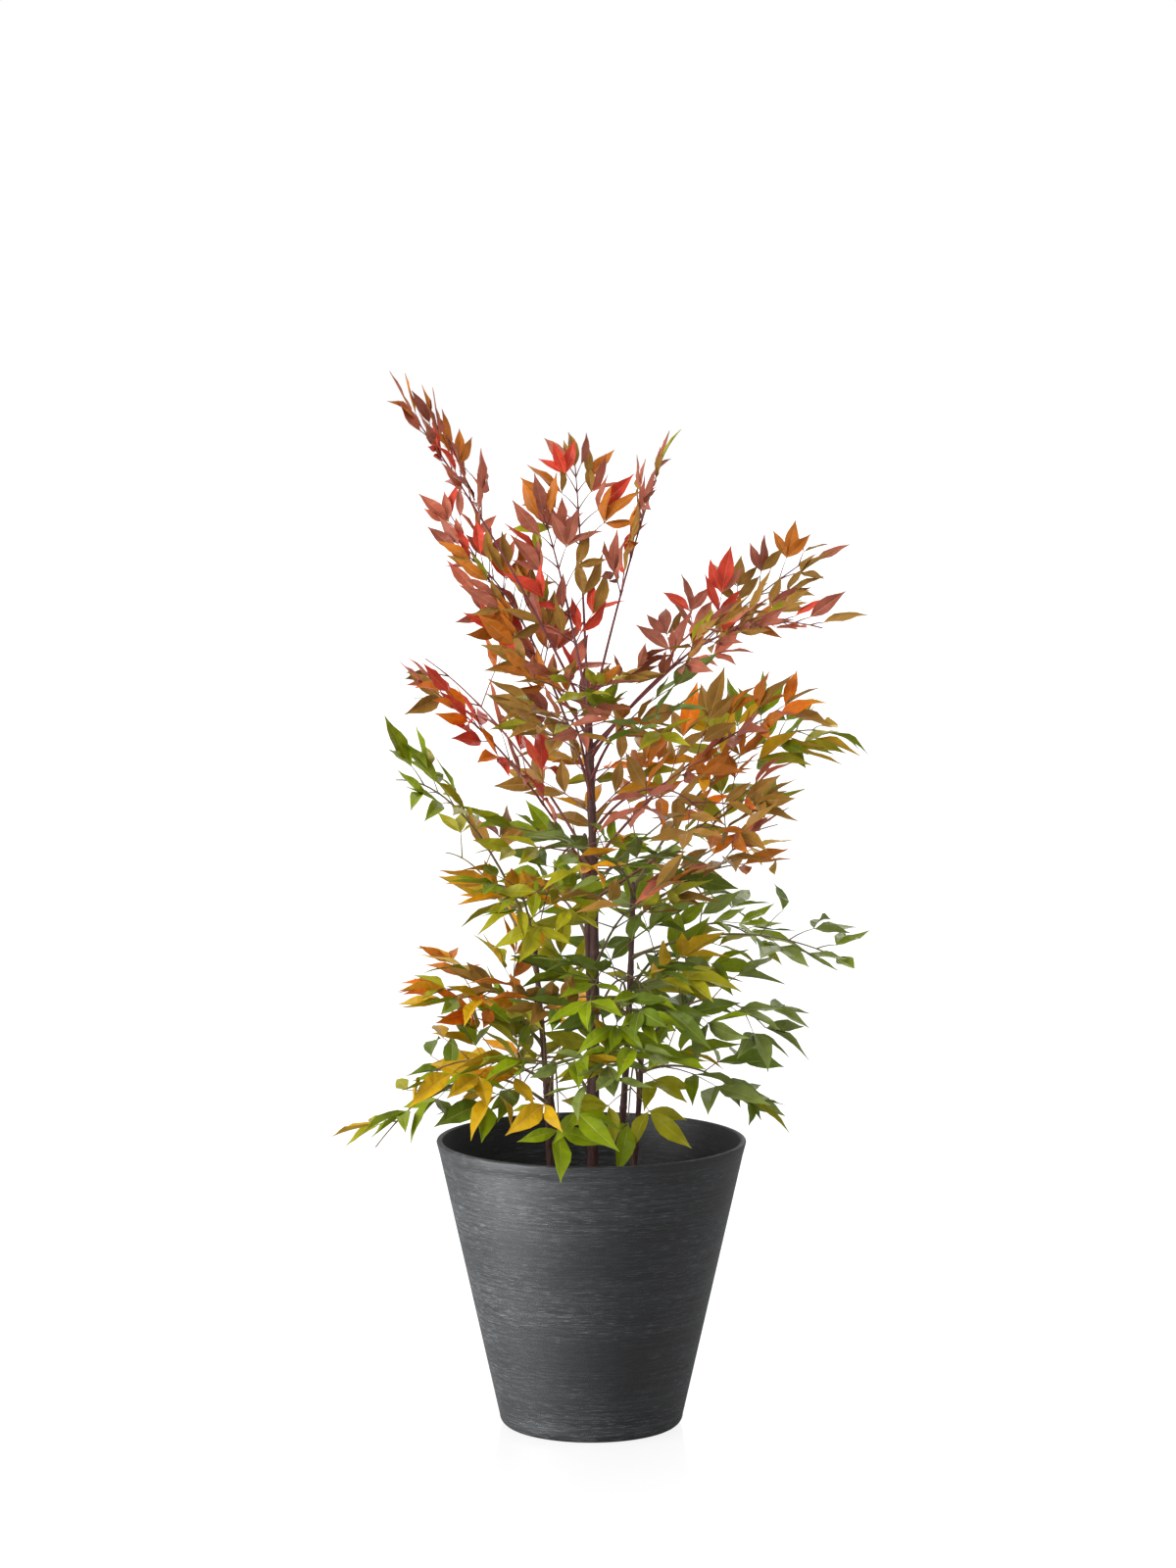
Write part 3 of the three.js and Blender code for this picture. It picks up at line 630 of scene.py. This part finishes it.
class HB_OT_soil(bpy.types.Operator):
    """Fill the planter with soil and scatter bark chips on it."""

    bl_idname = "hb.soil"
    bl_label = "Soil"

    def execute(self, context):
        soil, planter = context.scene.hb_soil, context.scene.hb_planter
        radius, _, top = SOIL_HIGH
        shares = [i / SOIL_RINGS for i in range(SOIL_RINGS + 1)]
        surface = [(radius * share, top - SOIL_DOME * share**2) for share in shares]
        low_radius = outer_radius(planter, SOIL_LOW.z) - planter.wall - SOIL_GAP
        bm = turned([*surface, (low_radius, SOIL_LOW.z), (0, SOIL_LOW.z)], SOIL_STEPS)
        for vert in bm.verts:
            if vert.co.z > top - 0.01 and vert.co.xy.length < radius * 0.995:
                vert.co.z += soil_height(vert.co.x, vert.co.y, soil.relief)
        finish = mottled(
            "potting_soil", soil.colour, 160.0, 1200.0, 0.45, 0.9, bump_depth=0.0015, Roughness=0.95
        )
        piece_from(mesh_from(bm, "potting_soil"), [finish], "soil", ["soil"])
        self.scatter(soil, radius * CHIPS_REACH, top)
        return {"FINISHED"}

    def scatter(self, soil, radius, top):
        """Flat, worn chips of bark, each turned and sunk a little."""
        chip = bmesh.new()
        bmesh.ops.create_icosphere(chip, subdivisions=1, radius=1)
        shape = np.array([v.co for v in chip.verts])
        faces = np.array([[v.index for v in f.verts] for f in chip.faces])
        chip.free()
        random = np.random.default_rng(CHIPS_SEED)
        places = []
        for _ in range(soil.chips):
            out, turn = radius * sqrt(random.random()), random.random() * FULL_TURN
            x, y = out * cos(turn), out * sin(turn)
            long = soil.chip_size * (0.25 + 0.75 * random.random() ** 2) / 2
            size = np.array([long, long * (0.35 + 0.4 * random.random()), long * 0.22])
            yaw, tip = random.random() * FULL_TURN, (random.random() - 0.5) * 0.8
            spin = np.array([[cos(yaw), -sin(yaw), 0], [sin(yaw), cos(yaw), 0], [0, 0, 1]])
            lean = np.array([[cos(tip), 0, -sin(tip)], [0, 1, 0], [sin(tip), 0, cos(tip)]])
            worn = shape * (1 + 0.25 * (random.random((len(shape), 1)) - 0.5))
            z = top - SOIL_DOME * (out / radius) ** 2 + soil_height(x, y, soil.relief)
            places.append((worn * size) @ (spin @ lean).T + (x, y, z + long * 0.08))
        finish = mottled("bark_chip", soil.chip_colour, 70.0, 900.0, 0.5, 0.6, Roughness=0.85)
        piece_from(joined_mesh("bark_chips", np.array(places), faces), [finish], "soil")


# ---- Lines of canes and fronds


def seeded(seed):
    """A repeatable run of numbers from 0 to 1."""
    state = seed * 7919 + 17
    while True:
        state = state * 16807 % 2147483647
        yield state / 2147483647


def cane_line(cane):
    def at(t):
        bend = sin(pi * t)
        x, y = (lerp(cane.foot[i], cane.top[i], t) + cane.sway[i] * bend for i in (0, 1))
        return Vector((x, y, cane.height * t))

    return at


def frond_line(frond):
    cane = CANES[frond.cane]
    foot = cane_line(cane)(frond.at / cane.height)
    heading = radians(frond.heading)
    out = Vector((cos(heading) * frond.reach, sin(heading) * frond.reach, frond.lift))
    return lambda t: foot + out * t + UP * frond.bow * 4 * t * (1 - t)


def tangent(line, t):
    step = 1e-3
    return (line(t + step) - line(t - step)).normalized()


def line_length(line, steps=16):
    return sum((line((i + 1) / steps) - line(i / steps)).length for i in range(steps))


def blade_frame(frond, line, t):
    """The directions of a frond's blade where a twig leaves it: along, to the side, and its face."""
    heading = radians(frond.heading)
    roll = radians(ROLL * cos(heading))
    along = tangent(line, t)
    level = Vector((-sin(heading), cos(heading), 0))
    above = along.cross(level)
    side = level * cos(roll) + above * sin(roll)
    roll *= TIERS[frond.tier].roll
    face = above * cos(roll) - level * sin(roll)
    return along, side, face


def placed(point):
    """A place on the plant in metres, in the frame."""
    return Vector((point.x * MM, point.y * MM, point.z * MM + CLUMP_FOOT))


# ---- Canes


def joint_count(cane):
    return round(cane.height / JOINT_GAP)


def cane_radius(cane, t):
    swell = ((1 + cos(FULL_TURN * joint_count(cane) * t)) / 2) ** 2
    flare = FLARE * exp(-t * cane.height / FLARE_HEIGHT)
    return lerp(cane.radius, cane.tip, t) * (1 + flare + JOINT_SWELL * swell)


def bark_relief(cane, angle, t):
    """How far the bark stands out at a place on a cane, about -1 to 1: long ridges, and a worn scar
    round each joint."""
    around = Vector((cos(angle) * 2.1, sin(angle) * 2.1, t * cane.height / 26 + cane.foot[0]))
    ridges = noise.noise(around) + 0.5 * noise.noise(around * 2.3)
    from_joint = abs((t * joint_count(cane) + 0.5) % 1 - 0.5) * JOINT_GAP
    scar = exp(-((from_joint / 1.6) ** 2)) - 0.8 * exp(-(((from_joint - 4) / 1.8) ** 2))
    return 0.8 * ridges + 0.7 * scar


CLOSING_RINGS = 3  # over which the top of a cane rounds off


class HB_OT_canes(bpy.types.Operator):
    """Raise the canes, with their bark, on the soil."""

    bl_idname = "hb.canes"
    bl_label = "Canes"

    def execute(self, context):
        wood = context.scene.hb_wood
        finish = self.bark(wood)
        for name, cane in CANES.items():
            mesh = self.raise_cane(f"bark_{name}", cane, wood)
            piece_from(mesh, [finish], "cane", [f"cane_{name}"])
        return {"FINISHED"}

    def bark(self, wood):
        material, tree, shader = new_material("cane_bark")
        place = add_node(tree, "TexCoord").outputs["Object"]
        fissures = stretched_noise(tree, place, (1, 1, 0.12), 520.0, 4.0)
        patches = stretched_noise(tree, place, (1, 1, 0.5), 60.0, 2.0)
        worn = (spread_out(fissures, 0.45, 0.75), spread_out(patches, 0.3, 0.7))
        tone = blend(tree, combine("MULTIPLY", *worn), opaque(wood.cane), opaque(wood.cane_ridge))
        link(tone, shader.inputs["Base Color"])
        link(spread_out(fissures, 0.3, 0.7, 0.5, 0.75), shader.inputs["Roughness"])
        add_relief(tree, shader, fissures, 0.6, 0.0004)
        return material

    def raise_cane(self, name, cane, wood):
        """Rings of the cane, each drawn up from the last."""
        line = cane_line(cane)
        rings = round(cane.height * MM / wood.ring_gap)
        bm = bmesh.new()
        made = bmesh.ops.create_circle(bm, segments=wood.cane_sides, radius=0.001)["verts"]
        ring = sorted(made, key=lambda v: atan2(v.co.y, v.co.x))
        bm.faces.new(ring)
        for step in range(rings + 1):
            t = step / rings
            if step:
                loop = [bm.edges.get(pair) for pair in zip(ring, ring[1:] + ring[:1])]
                made = bmesh.ops.extrude_edge_only(bm, edges=loop)["geom"]
                new = {v for v in made if isinstance(v, bmesh.types.BMVert)}
                ring = [next(e.other_vert(v) for e in v.link_edges if e.other_vert(v) in new) for v in ring]
            centre = line(t)
            past = max(0.0, (t * rings - (rings - CLOSING_RINGS)) / CLOSING_RINGS)
            closing = sqrt(max(0.02, 1 - past**2))
            for i, vert in enumerate(ring):
                angle = FULL_TURN * i / wood.cane_sides
                radius = cane_radius(cane, t) + wood.relief / MM * bark_relief(cane, angle, t)
                out = Vector((cos(angle), sin(angle), 0)) * radius * closing
                vert.co = placed(centre + out)
        bm.faces.new(ring)
        bmesh.ops.recalc_face_normals(bm, faces=bm.faces)
        return mesh_from(bm, name)


# ---- How a frond divides

# A leaf's root, its direction, its face, its length, its width, what shapes it, and its tint.
Leaf = namedtuple("Leaf", "root along face length width shape tint")
# A stalk or twig: its points and its radius at each.
Limb = namedtuple("Limb", "points radii")


def inside_crown(place):
    """True for a place inside the crown's outline."""
    above = next((i for i, row in enumerate(OUTLINE) if row[0] > place.z), -1)
    if above < 1:
        return False
    low, high = OUTLINE[above - 1], OUTLINE[above]
    share = (place.z - low[0]) / (high[0] - low[0])
    left, right = (lerp(low[i], high[i], share) for i in (1, 2))
    sideways = place.x / (left if place.x < 0 else right)
    outward = place.y / (DEPTH * (left + right) / 2)
    return sideways**SQUARENESS + outward**SQUARENESS < 1


def deal_tint(palette, number):
    """The tint at a number from 0 to 1 along a palette."""
    shares = PALETTES[palette]
    left = number * sum(shares.values())
    for tint, weight in shares.items():
        left -= weight
        if left <= 0:
            break
    return tint


def turn_leaf(random, frond, share, root, direction, face, hand):
    """One turn of a leaf that leaves its twig on one hand, 0 for the leaf at the twig's tip."""
    tier = TIERS[frond.tier]
    angle = radians(LEAF_ANGLE + LEAF_JITTER * (next(random) - 0.5)) * hand
    across = face.cross(direction).normalized()
    rise = tier.perk + LEAF_SWAY * (next(random) - 0.5)
    along = direction * cos(angle) + across * sin(angle) + UP * rise
    along = (along - UP * min(0, along.z) * (1 - LEAF_LEVEL)).normalized()
    flat = (face - along * face.dot(along)).normalized()
    edge = along.cross(flat)
    swing = 2 * next(random) - 1
    tilt = radians(LEAF_TILT * swing * abs(swing) ** 0.5)
    size = (1 - LEAF_SHRINK * share) * (LEAF_LEAST + LEAF_MORE * next(random))
    size *= 1 if hand else LEAF_AT_TIP
    shape = tuple(next(random) for _ in range(5))
    return root, along, flat * cos(tilt) + edge * sin(tilt), tier.leaf * size, shape


def add_leaf(leaves, taken, random, tint, *where):
    """Adds a leaf in the first of a few turns that lies inside the crown, and where the places taken
    by other leaves leave it room. Each turn is drawn in any case."""
    turns = [turn_leaf(random, *where) for _ in range(LEAF_TURNS)]
    for root, along, face, length, shape in turns:
        middle = root + along * length * 0.5
        tip = root + along * length
        side = face.cross(along) * length * LEAF_HALF
        if not all(inside_crown(p) for p in (tip, middle + side, middle - side)):
            continue
        if any((other - middle).length < LEAF_ROOM * length for other in taken):
            continue
        taken.append(middle)
        width = length * TIERS[where[0].tier].width * (WIDTH_LEAST + WIDTH_MORE * shape[0])
        leaves.append(Leaf(root, along, face, length, width, shape, tint))
        return True
    return False


def grow_twig(frond, share, root, direction, face, length, random, taken, leaves):
    """A twig with a leaf at its tip, one each side of that, and pairs down to its lowest share."""
    spray = deal_tint(frond.palette, next(random))

    def line(t):
        return root + direction * length * t + UP * length * TWIG_SAG * 4 * t * (1 - t)

    def leaf(t, hand):
        own = next(random) < OWN_TINT
        number = next(random)
        tint = deal_tint(frond.palette, number) if own else spray
        along = tangent(line, t)
        return add_leaf(leaves, taken, random, tint, frond, share, line(t), along, face, hand)

    nodes = [1.0]
    kept = leaf(1.0, 0)
    life = TIERS[frond.tier].leaf * (1 - LEAF_SHRINK * share)
    reach = length if length > 0.5 * life else 0
    while reach > LEAF_LOWEST * length:
        made = [leaf(reach / length, hand) for hand in (1, -1)]
        if any(made):
            nodes.append(reach / length)
            kept = True
        reach -= LEAF_GAP * life
    if not kept:
        return None
    swell_length, swell = TWIG_NODE
    ends = [n - swell_length for n in nodes] + [min(1, n + swell_length) for n in nodes]
    steps = sorted({0.0, 0.33, 0.66, *nodes, *ends})
    radii = [lerp(*TWIG_RADII, t) * (swell if t in nodes and t < 1 else 1.0) for t in steps]
    return Limb([line(t) for t in steps], radii)


def stalk_limb(line, length, nodes):
    """A frond's stalk: it clasps its cane, tapers to its tip and swells where twigs leave it."""
    swell_length, swell = STALK_NODE
    steps = sorted({*(i / 20 for i in range(21)), 0.02, 0.035, *nodes, *(n - swell_length for n in nodes)})

    def radius(t):
        own = lerp(*STALK_RADII, t) * (swell if t in nodes else 1.0)
        return own * (1 + exp(-t * length / CLASP_LENGTH))

    return Limb([line(t) for t in steps], [radius(t) for t in steps])


def grow_frond(frond, taken):
    """A frond's stalk, its twigs and its leaves."""
    random = seeded(frond.seed)
    leaf_random = seeded(frond.seed + 1000)
    line = frond_line(frond)
    length = line_length(line)
    pairs = max(2, round(length * (1 - frond.bare) / (PAIR_GAP * frond.spread)))
    twigs, leaves, nodes = [], [], []
    gather = 1 - TWIG_GATHER * TIERS[frond.tier].perk
    for pair in range(pairs):
        share = pair / pairs
        for hand in (1, -1):
            t = lerp(frond.bare, 1, share + (PAIR_START + PAIR_JITTER * next(random)) / pairs)
            along, side, face = blade_frame(frond, line, t)
            angle = lerp(OPEN_ANGLE, CLOSE_ANGLE, share) * gather
            angle = radians(angle + TWIG_JITTER * (next(random) - 0.5))
            cup = face * (TWIG_CUP + CUP_JITTER * (next(random) - 0.5))
            direction = (along * cos(angle) + side * hand * sin(angle) + cup).normalized()
            reach = frond.spread * (1 - TWIG_SHORTEN * share) * (TWIG_LEAST + TWIG_MORE * next(random))
            root = line(t)
            if inside_crown(root + direction * reach):
                twig = grow_twig(frond, share, root, direction, face, reach, leaf_random, taken, leaves)
                if twig:
                    twigs.append(twig)
                    nodes.append(t)
    along, _, face = blade_frame(frond, line, 1)
    tint = deal_tint(frond.palette, next(leaf_random))
    for hand in (0, 1, -1):
        where = (STALK_TIP_SHARE, line(1), along, face, hand)
        add_leaf(leaves, taken, leaf_random, tint, frond, *where)
    return stalk_limb(line, length, nodes), twigs, leaves


def limbs_mesh(name, limbs, round_off):
    """One mesh of tapering limbs, from a curve of one line each."""
    curve = bpy.data.curves.new(name, "CURVE")
    curve.dimensions = "3D"
    curve.bevel_depth = 1.0
    curve.bevel_resolution = round_off
    curve.use_fill_caps = True
    for limb in limbs:
        spline = curve.splines.new("POLY")
        spline.points.add(len(limb.points) - 1)
        for point, place, radius in zip(spline.points, limb.points, limb.radii):
            point.co = (*placed(place), 1)
            point.radius = radius * MM
    holder = add_object(name, curve)
    bpy.context.view_layer.update()
    evaluated = holder.evaluated_get(bpy.context.evaluated_depsgraph_get())
    tubes = bpy.data.meshes.new_from_object(evaluated)
    bm = bmesh.new()
    bm.from_mesh(tubes)
    bpy.data.objects.remove(holder)
    bpy.data.curves.remove(curve)
    bpy.data.meshes.remove(tubes)
    bmesh.ops.remove_doubles(bm, verts=bm.verts, dist=1e-7)
    bmesh.ops.recalc_face_normals(bm, faces=bm.faces)
    return mesh_from(bm, name)


# ---- Leaves

# The outline of a leaf: how far along it each row lies, and its width there.
LEAF_ROWS = [
    (0.0, 0.05), (0.05, 0.09), (0.16, 0.5), (0.3, 0.88), (0.44, 1.0),
    (0.6, 0.86), (0.76, 0.5), (0.89, 0.18), (1.0, 0.01),
]
RIB_SHARE = 0.045  # half the rib's width as a share of the widest half
UPPER, UNDER, RIB = range(3)  # a leaf's materials, in the order of leaf_materials


def leaf_master():
    """A leaf's shape as shares: across, along and through it, with its faces and their materials."""
    bm = bmesh.new()
    rows = len(LEAF_ROWS) - 1
    bmesh.ops.create_grid(bm, x_segments=3, y_segments=rows, size=1)
    bmesh.ops.solidify(bm, geom=bm.faces[:], thickness=1)
    bm.verts.ensure_lookup_table()
    lowest = min(round(v.co.z, 3) for v in bm.verts)
    columns = (-1.0, -RIB_SHARE, RIB_SHARE, 1.0)
    shape = []
    for vert in bm.verts:
        along, width = LEAF_ROWS[round((vert.co.y + 1) / 2 * rows)]
        column = columns[round((vert.co.x + 1) * 1.5)]
        across = column * width if abs(column) == 1 else column * (1 - along * 0.7)
        if abs(across) > width:
            across = copysign(width, across)
        shape.append((across, along, float(round(vert.co.z, 3) == lowest)))
    bmesh.ops.recalc_face_normals(bm, faces=bm.faces)
    faces, kinds = [], []
    for face in bm.faces:
        faces.append([v.index for v in face.verts])
        on_rib = abs(face.calc_center_median().x) < 0.1 and abs(face.normal.z) > 0.5
        kinds.append(RIB if on_rib else UNDER if face.normal.z < -0.5 else UPPER)
    bm.free()
    return np.array(shape), np.array(faces), np.array(kinds)


def leaves_mesh(name, leaves, settings):
    """One mesh of all the leaves of a tint, each folded at its rib and bent a little its own way."""
    shape, faces, kinds = leaf_master()
    across, along, through = shape.T
    root = np.array([placed(leaf.root) for leaf in leaves])
    forward = np.array([leaf.along for leaf in leaves])
    face = np.array([leaf.face for leaf in leaves])
    sideways = np.cross(face, forward)
    length = np.array([leaf.length for leaf in leaves])[:, None] * MM
    half = np.array([leaf.width for leaf in leaves])[:, None] * MM / 2
    _, folded, bent, hooked, waved = np.array([leaf.shape for leaf in leaves]).T[..., None]
    fold = np.tan(settings.fold * (0.35 + 1.2 * folded))
    bend = settings.bend * (2.1 * bent - 0.55)
    bend = np.where(np.abs(bend) < 0.02, 0.02, bend)
    hook = 0.16 * (hooked - 0.5)
    wave = 0.03 * np.sin(FULL_TURN * (along * 1.6 + waved))
    ahead = np.sin(bend * along) / bend * length
    droop = (1 - np.cos(bend * along)) / bend * length
    side = across * half + hook * along**2 * length
    lift = np.abs(across) * half * fold + wave * np.abs(across) * length
    drop = through * settings.thickness * (0.25 + 0.75 * (1 - np.abs(across)))
    steps = ((forward, ahead), (sideways, side), (face, lift - droop - drop))
    place = root[:, None] + sum(way[:, None] * far[..., None] for way, far in steps)
    mesh = joined_mesh(name, place, faces)
    mesh.polygons.foreach_set("material_index", np.tile(kinds, len(leaves)).astype(np.int32))
    return mesh


class HB_OT_fronds(bpy.types.Operator):
    """Grow every frond: stalks, twigs and leaves."""

    bl_idname = "hb.fronds"
    bl_label = "Fronds"

    def execute(self, context):
        stalks, twigs, leaves = (defaultdict(list) for _ in range(3))
        taken = []
        for frond in FRONDS:
            stalk, own_twigs, own_leaves = grow_frond(frond, taken)
            stalks[frond.tier].append(stalk)
            twigs[frond.tier] += own_twigs
            for leaf in own_leaves:
                leaves[leaf.tint].append(leaf)
        for tier, own in TIERS.items():
            colour = getattr(context.scene.hb_wood, f"{tier}_stalk")
            bare = [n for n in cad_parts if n.startswith(f"stalk_{tier}_")]
            leafy = [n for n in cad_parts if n.startswith(f"blade_{tier}_")]
            finish = mottled(f"stalk_{tier}", colour, 90.0, 1400.0, 0.35, Roughness=0.5)
            piece_from(limbs_mesh(f"stalks_{tier}", stalks[tier], 2), [finish], "stalk", bare)
            finish = mottled(f"twig_{tier}", shade(colour, 1.15), 90.0, 1400.0, 0.25, Roughness=0.5)
            piece_from(limbs_mesh(f"twigs_{tier}", twigs[tier], 0), [finish], own.slot, leafy)
        for slot, tints in TINTS.items():
            for tint, code in tints.items():
                mesh = leaves_mesh(f"leaves_{tint}", leaves[tint], context.scene.hb_leaves)
                piece_from(mesh, leaf_materials(tint, srgb(code)), slot)
        return {"FINISHED"}


# ---- Stage

WHITE = (1, 1, 1, 1)
# The lamps, round and soft: where each hangs, where it is aimed, and its width.
LAMPS = {
    "key": ((-2.9, -2.1, 2.3), (0, 0, 0.6), 2.4),
    "fill": ((2.6, -1.8, 2.4), (0, 0, 0.6), 2.4),
    "side": ((-1.5, -0.75, 0.3), (0, 0, 0.17), 0.7),
    "back": ((1.2, 2.8, 2.8), (0, 0, 0.6), 2.4),
}


def area_light(name, power):
    place, aim, width = LAMPS[name]
    data = bpy.data.lights.new(name, "AREA")
    data.shape = "DISK"
    data.size = width
    data.energy = power
    lamp = add_object(name, data)
    lamp.location = place
    lamp.rotation_euler = (Vector(aim) - Vector(place)).to_track_quat("-Z", "Y").to_euler()
    return lamp


def seen_and_cast(tree, seen, cast, target):
    """One shader for what the camera sees, and another for the light that comes from there."""
    either = add_node(tree, "MixShader")
    link(add_node(tree, "LightPath").outputs["Is Camera Ray"], either.inputs["Fac"])
    link(cast.outputs[0], either.inputs[1])
    link(seen.outputs[0], either.inputs[2])
    link(either.outputs[0], target.inputs["Surface"])


class HB_OT_stage(bpy.types.Operator):
    """Set out the floor, the lights and the camera round the finished planter."""

    bl_idname = "hb.stage"
    bl_label = "Stage"

    def execute(self, context):
        scene, stage = context.scene, context.scene.hb_stage
        bm = bmesh.new()
        bmesh.ops.create_circle(bm, cap_ends=True, segments=96, radius=stage.floor_radius)
        floor = add_object("floor", mesh_from(bm, "floor", smooth=False))
        floor.data.materials.append(self.pale_paint())
        self.sky(scene, stage.sky)
        lamps = {name: area_light(name, getattr(stage, name)) for name in LAMPS}
        lit = bpy.data.collections.new("lit_by_side")
        lit.objects.link(bpy.data.objects["planter_shell"])
        lamps["side"].light_linking.receiver_collection = lit
        camera = add_object("camera", bpy.data.cameras.new("camera"))
        camera.data.lens = stage.lens
        camera.data.clip_end = 200
        camera.location = stage.camera_place
        camera.rotation_euler = (pi / 2 - stage.camera_dip, 0, 0)
        scene.camera = camera
        scene.view_settings.view_transform = "Standard"
        return {"FINISHED"}

    def pale_paint(self):
        """White to the camera but for a painted soft shadow round the pot, and less bright as a light."""
        paint, tree, seen = new_material("pale_floor")
        look = {"Base_Color": (0.1, 0.1, 0.1, 1), "Roughness": 0.12, "Specular_IOR_Level": 0.2}
        set_inputs(seen, {**look, "Emission_Color": WHITE})
        far = add_node(tree, "VectorMath")
        far.operation = "LENGTH"
        link(add_node(tree, "TexCoord").outputs["Object"], far.inputs[0])
        # The glow is dimmer close to the pot and full white further out: a painted soft shadow round the
        # pot's foot.
        glow_with_painted_shadow = spread_out(far.outputs["Value"], 0.12, 0.9, 0.86, 1.0)
        link(glow_with_painted_shadow, seen.inputs["Emission Strength"])
        cast = add_node(tree, "BsdfDiffuse", Color=(0.6, 0.6, 0.6, 1))
        seen_and_cast(tree, seen, cast, tree.nodes["Material Output"])
        return paint

    def sky(self, scene, strength):
        """Plain white, as bright to the camera as the floor, and softer as a light."""
        scene.world = bpy.data.worlds.new("studio")
        scene.world.use_nodes = True
        tree = scene.world.node_tree
        tree.nodes.clear()
        seen = add_node(tree, "Background", Color=WHITE)
        cast = add_node(tree, "Background", Color=WHITE, Strength=strength)
        seen_and_cast(tree, seen, cast, add_node(tree, "OutputWorld"))


# ---- Panel and registration

SETTINGS = {
    "hb_planter": HB_PlanterSettings,
    "hb_soil": HB_SoilSettings,
    "hb_wood": HB_WoodSettings,
    "hb_leaves": HB_LeafSettings,
    "hb_stage": HB_StageSettings,
}
OPERATORS = [HB_OT_pot, HB_OT_soil, HB_OT_canes, HB_OT_fronds, HB_OT_stage]


class HB_PT_panel(bpy.types.Panel):
    """The pieces, each with its own button."""

    bl_idname = "HB_PT_panel"
    bl_label = "Heavenly bamboo"
    bl_space_type = "VIEW_3D"
    bl_region_type = "UI"
    bl_category = "Heavenly bamboo"

    def draw(self, context):
        for name, group in SETTINGS.items():
            box = self.layout.box()
            settings = getattr(context.scene, name)
            for prop in group.__annotations__:
                box.prop(settings, prop)
        for operator in OPERATORS:
            self.layout.operator(operator.bl_idname)


def register():
    for name, group in SETTINGS.items():
        bpy.utils.register_class(group)
        setattr(bpy.types.Scene, name, PointerProperty(type=group))
    for cls in (*OPERATORS, HB_PT_panel):
        bpy.utils.register_class(cls)


def unregister():
    for cls in reversed((*OPERATORS, HB_PT_panel)):
        bpy.utils.unregister_class(cls)
    for name, group in reversed(SETTINGS.items()):
        delattr(bpy.types.Scene, name)
        bpy.utils.unregister_class(group)


def main():
    register()
    bpy.ops.hb.pot()
    bpy.ops.hb.soil()
    bpy.ops.hb.canes()
    bpy.ops.hb.fronds()
    bpy.ops.hb.stage()


if __name__ == "__main__":
    main()
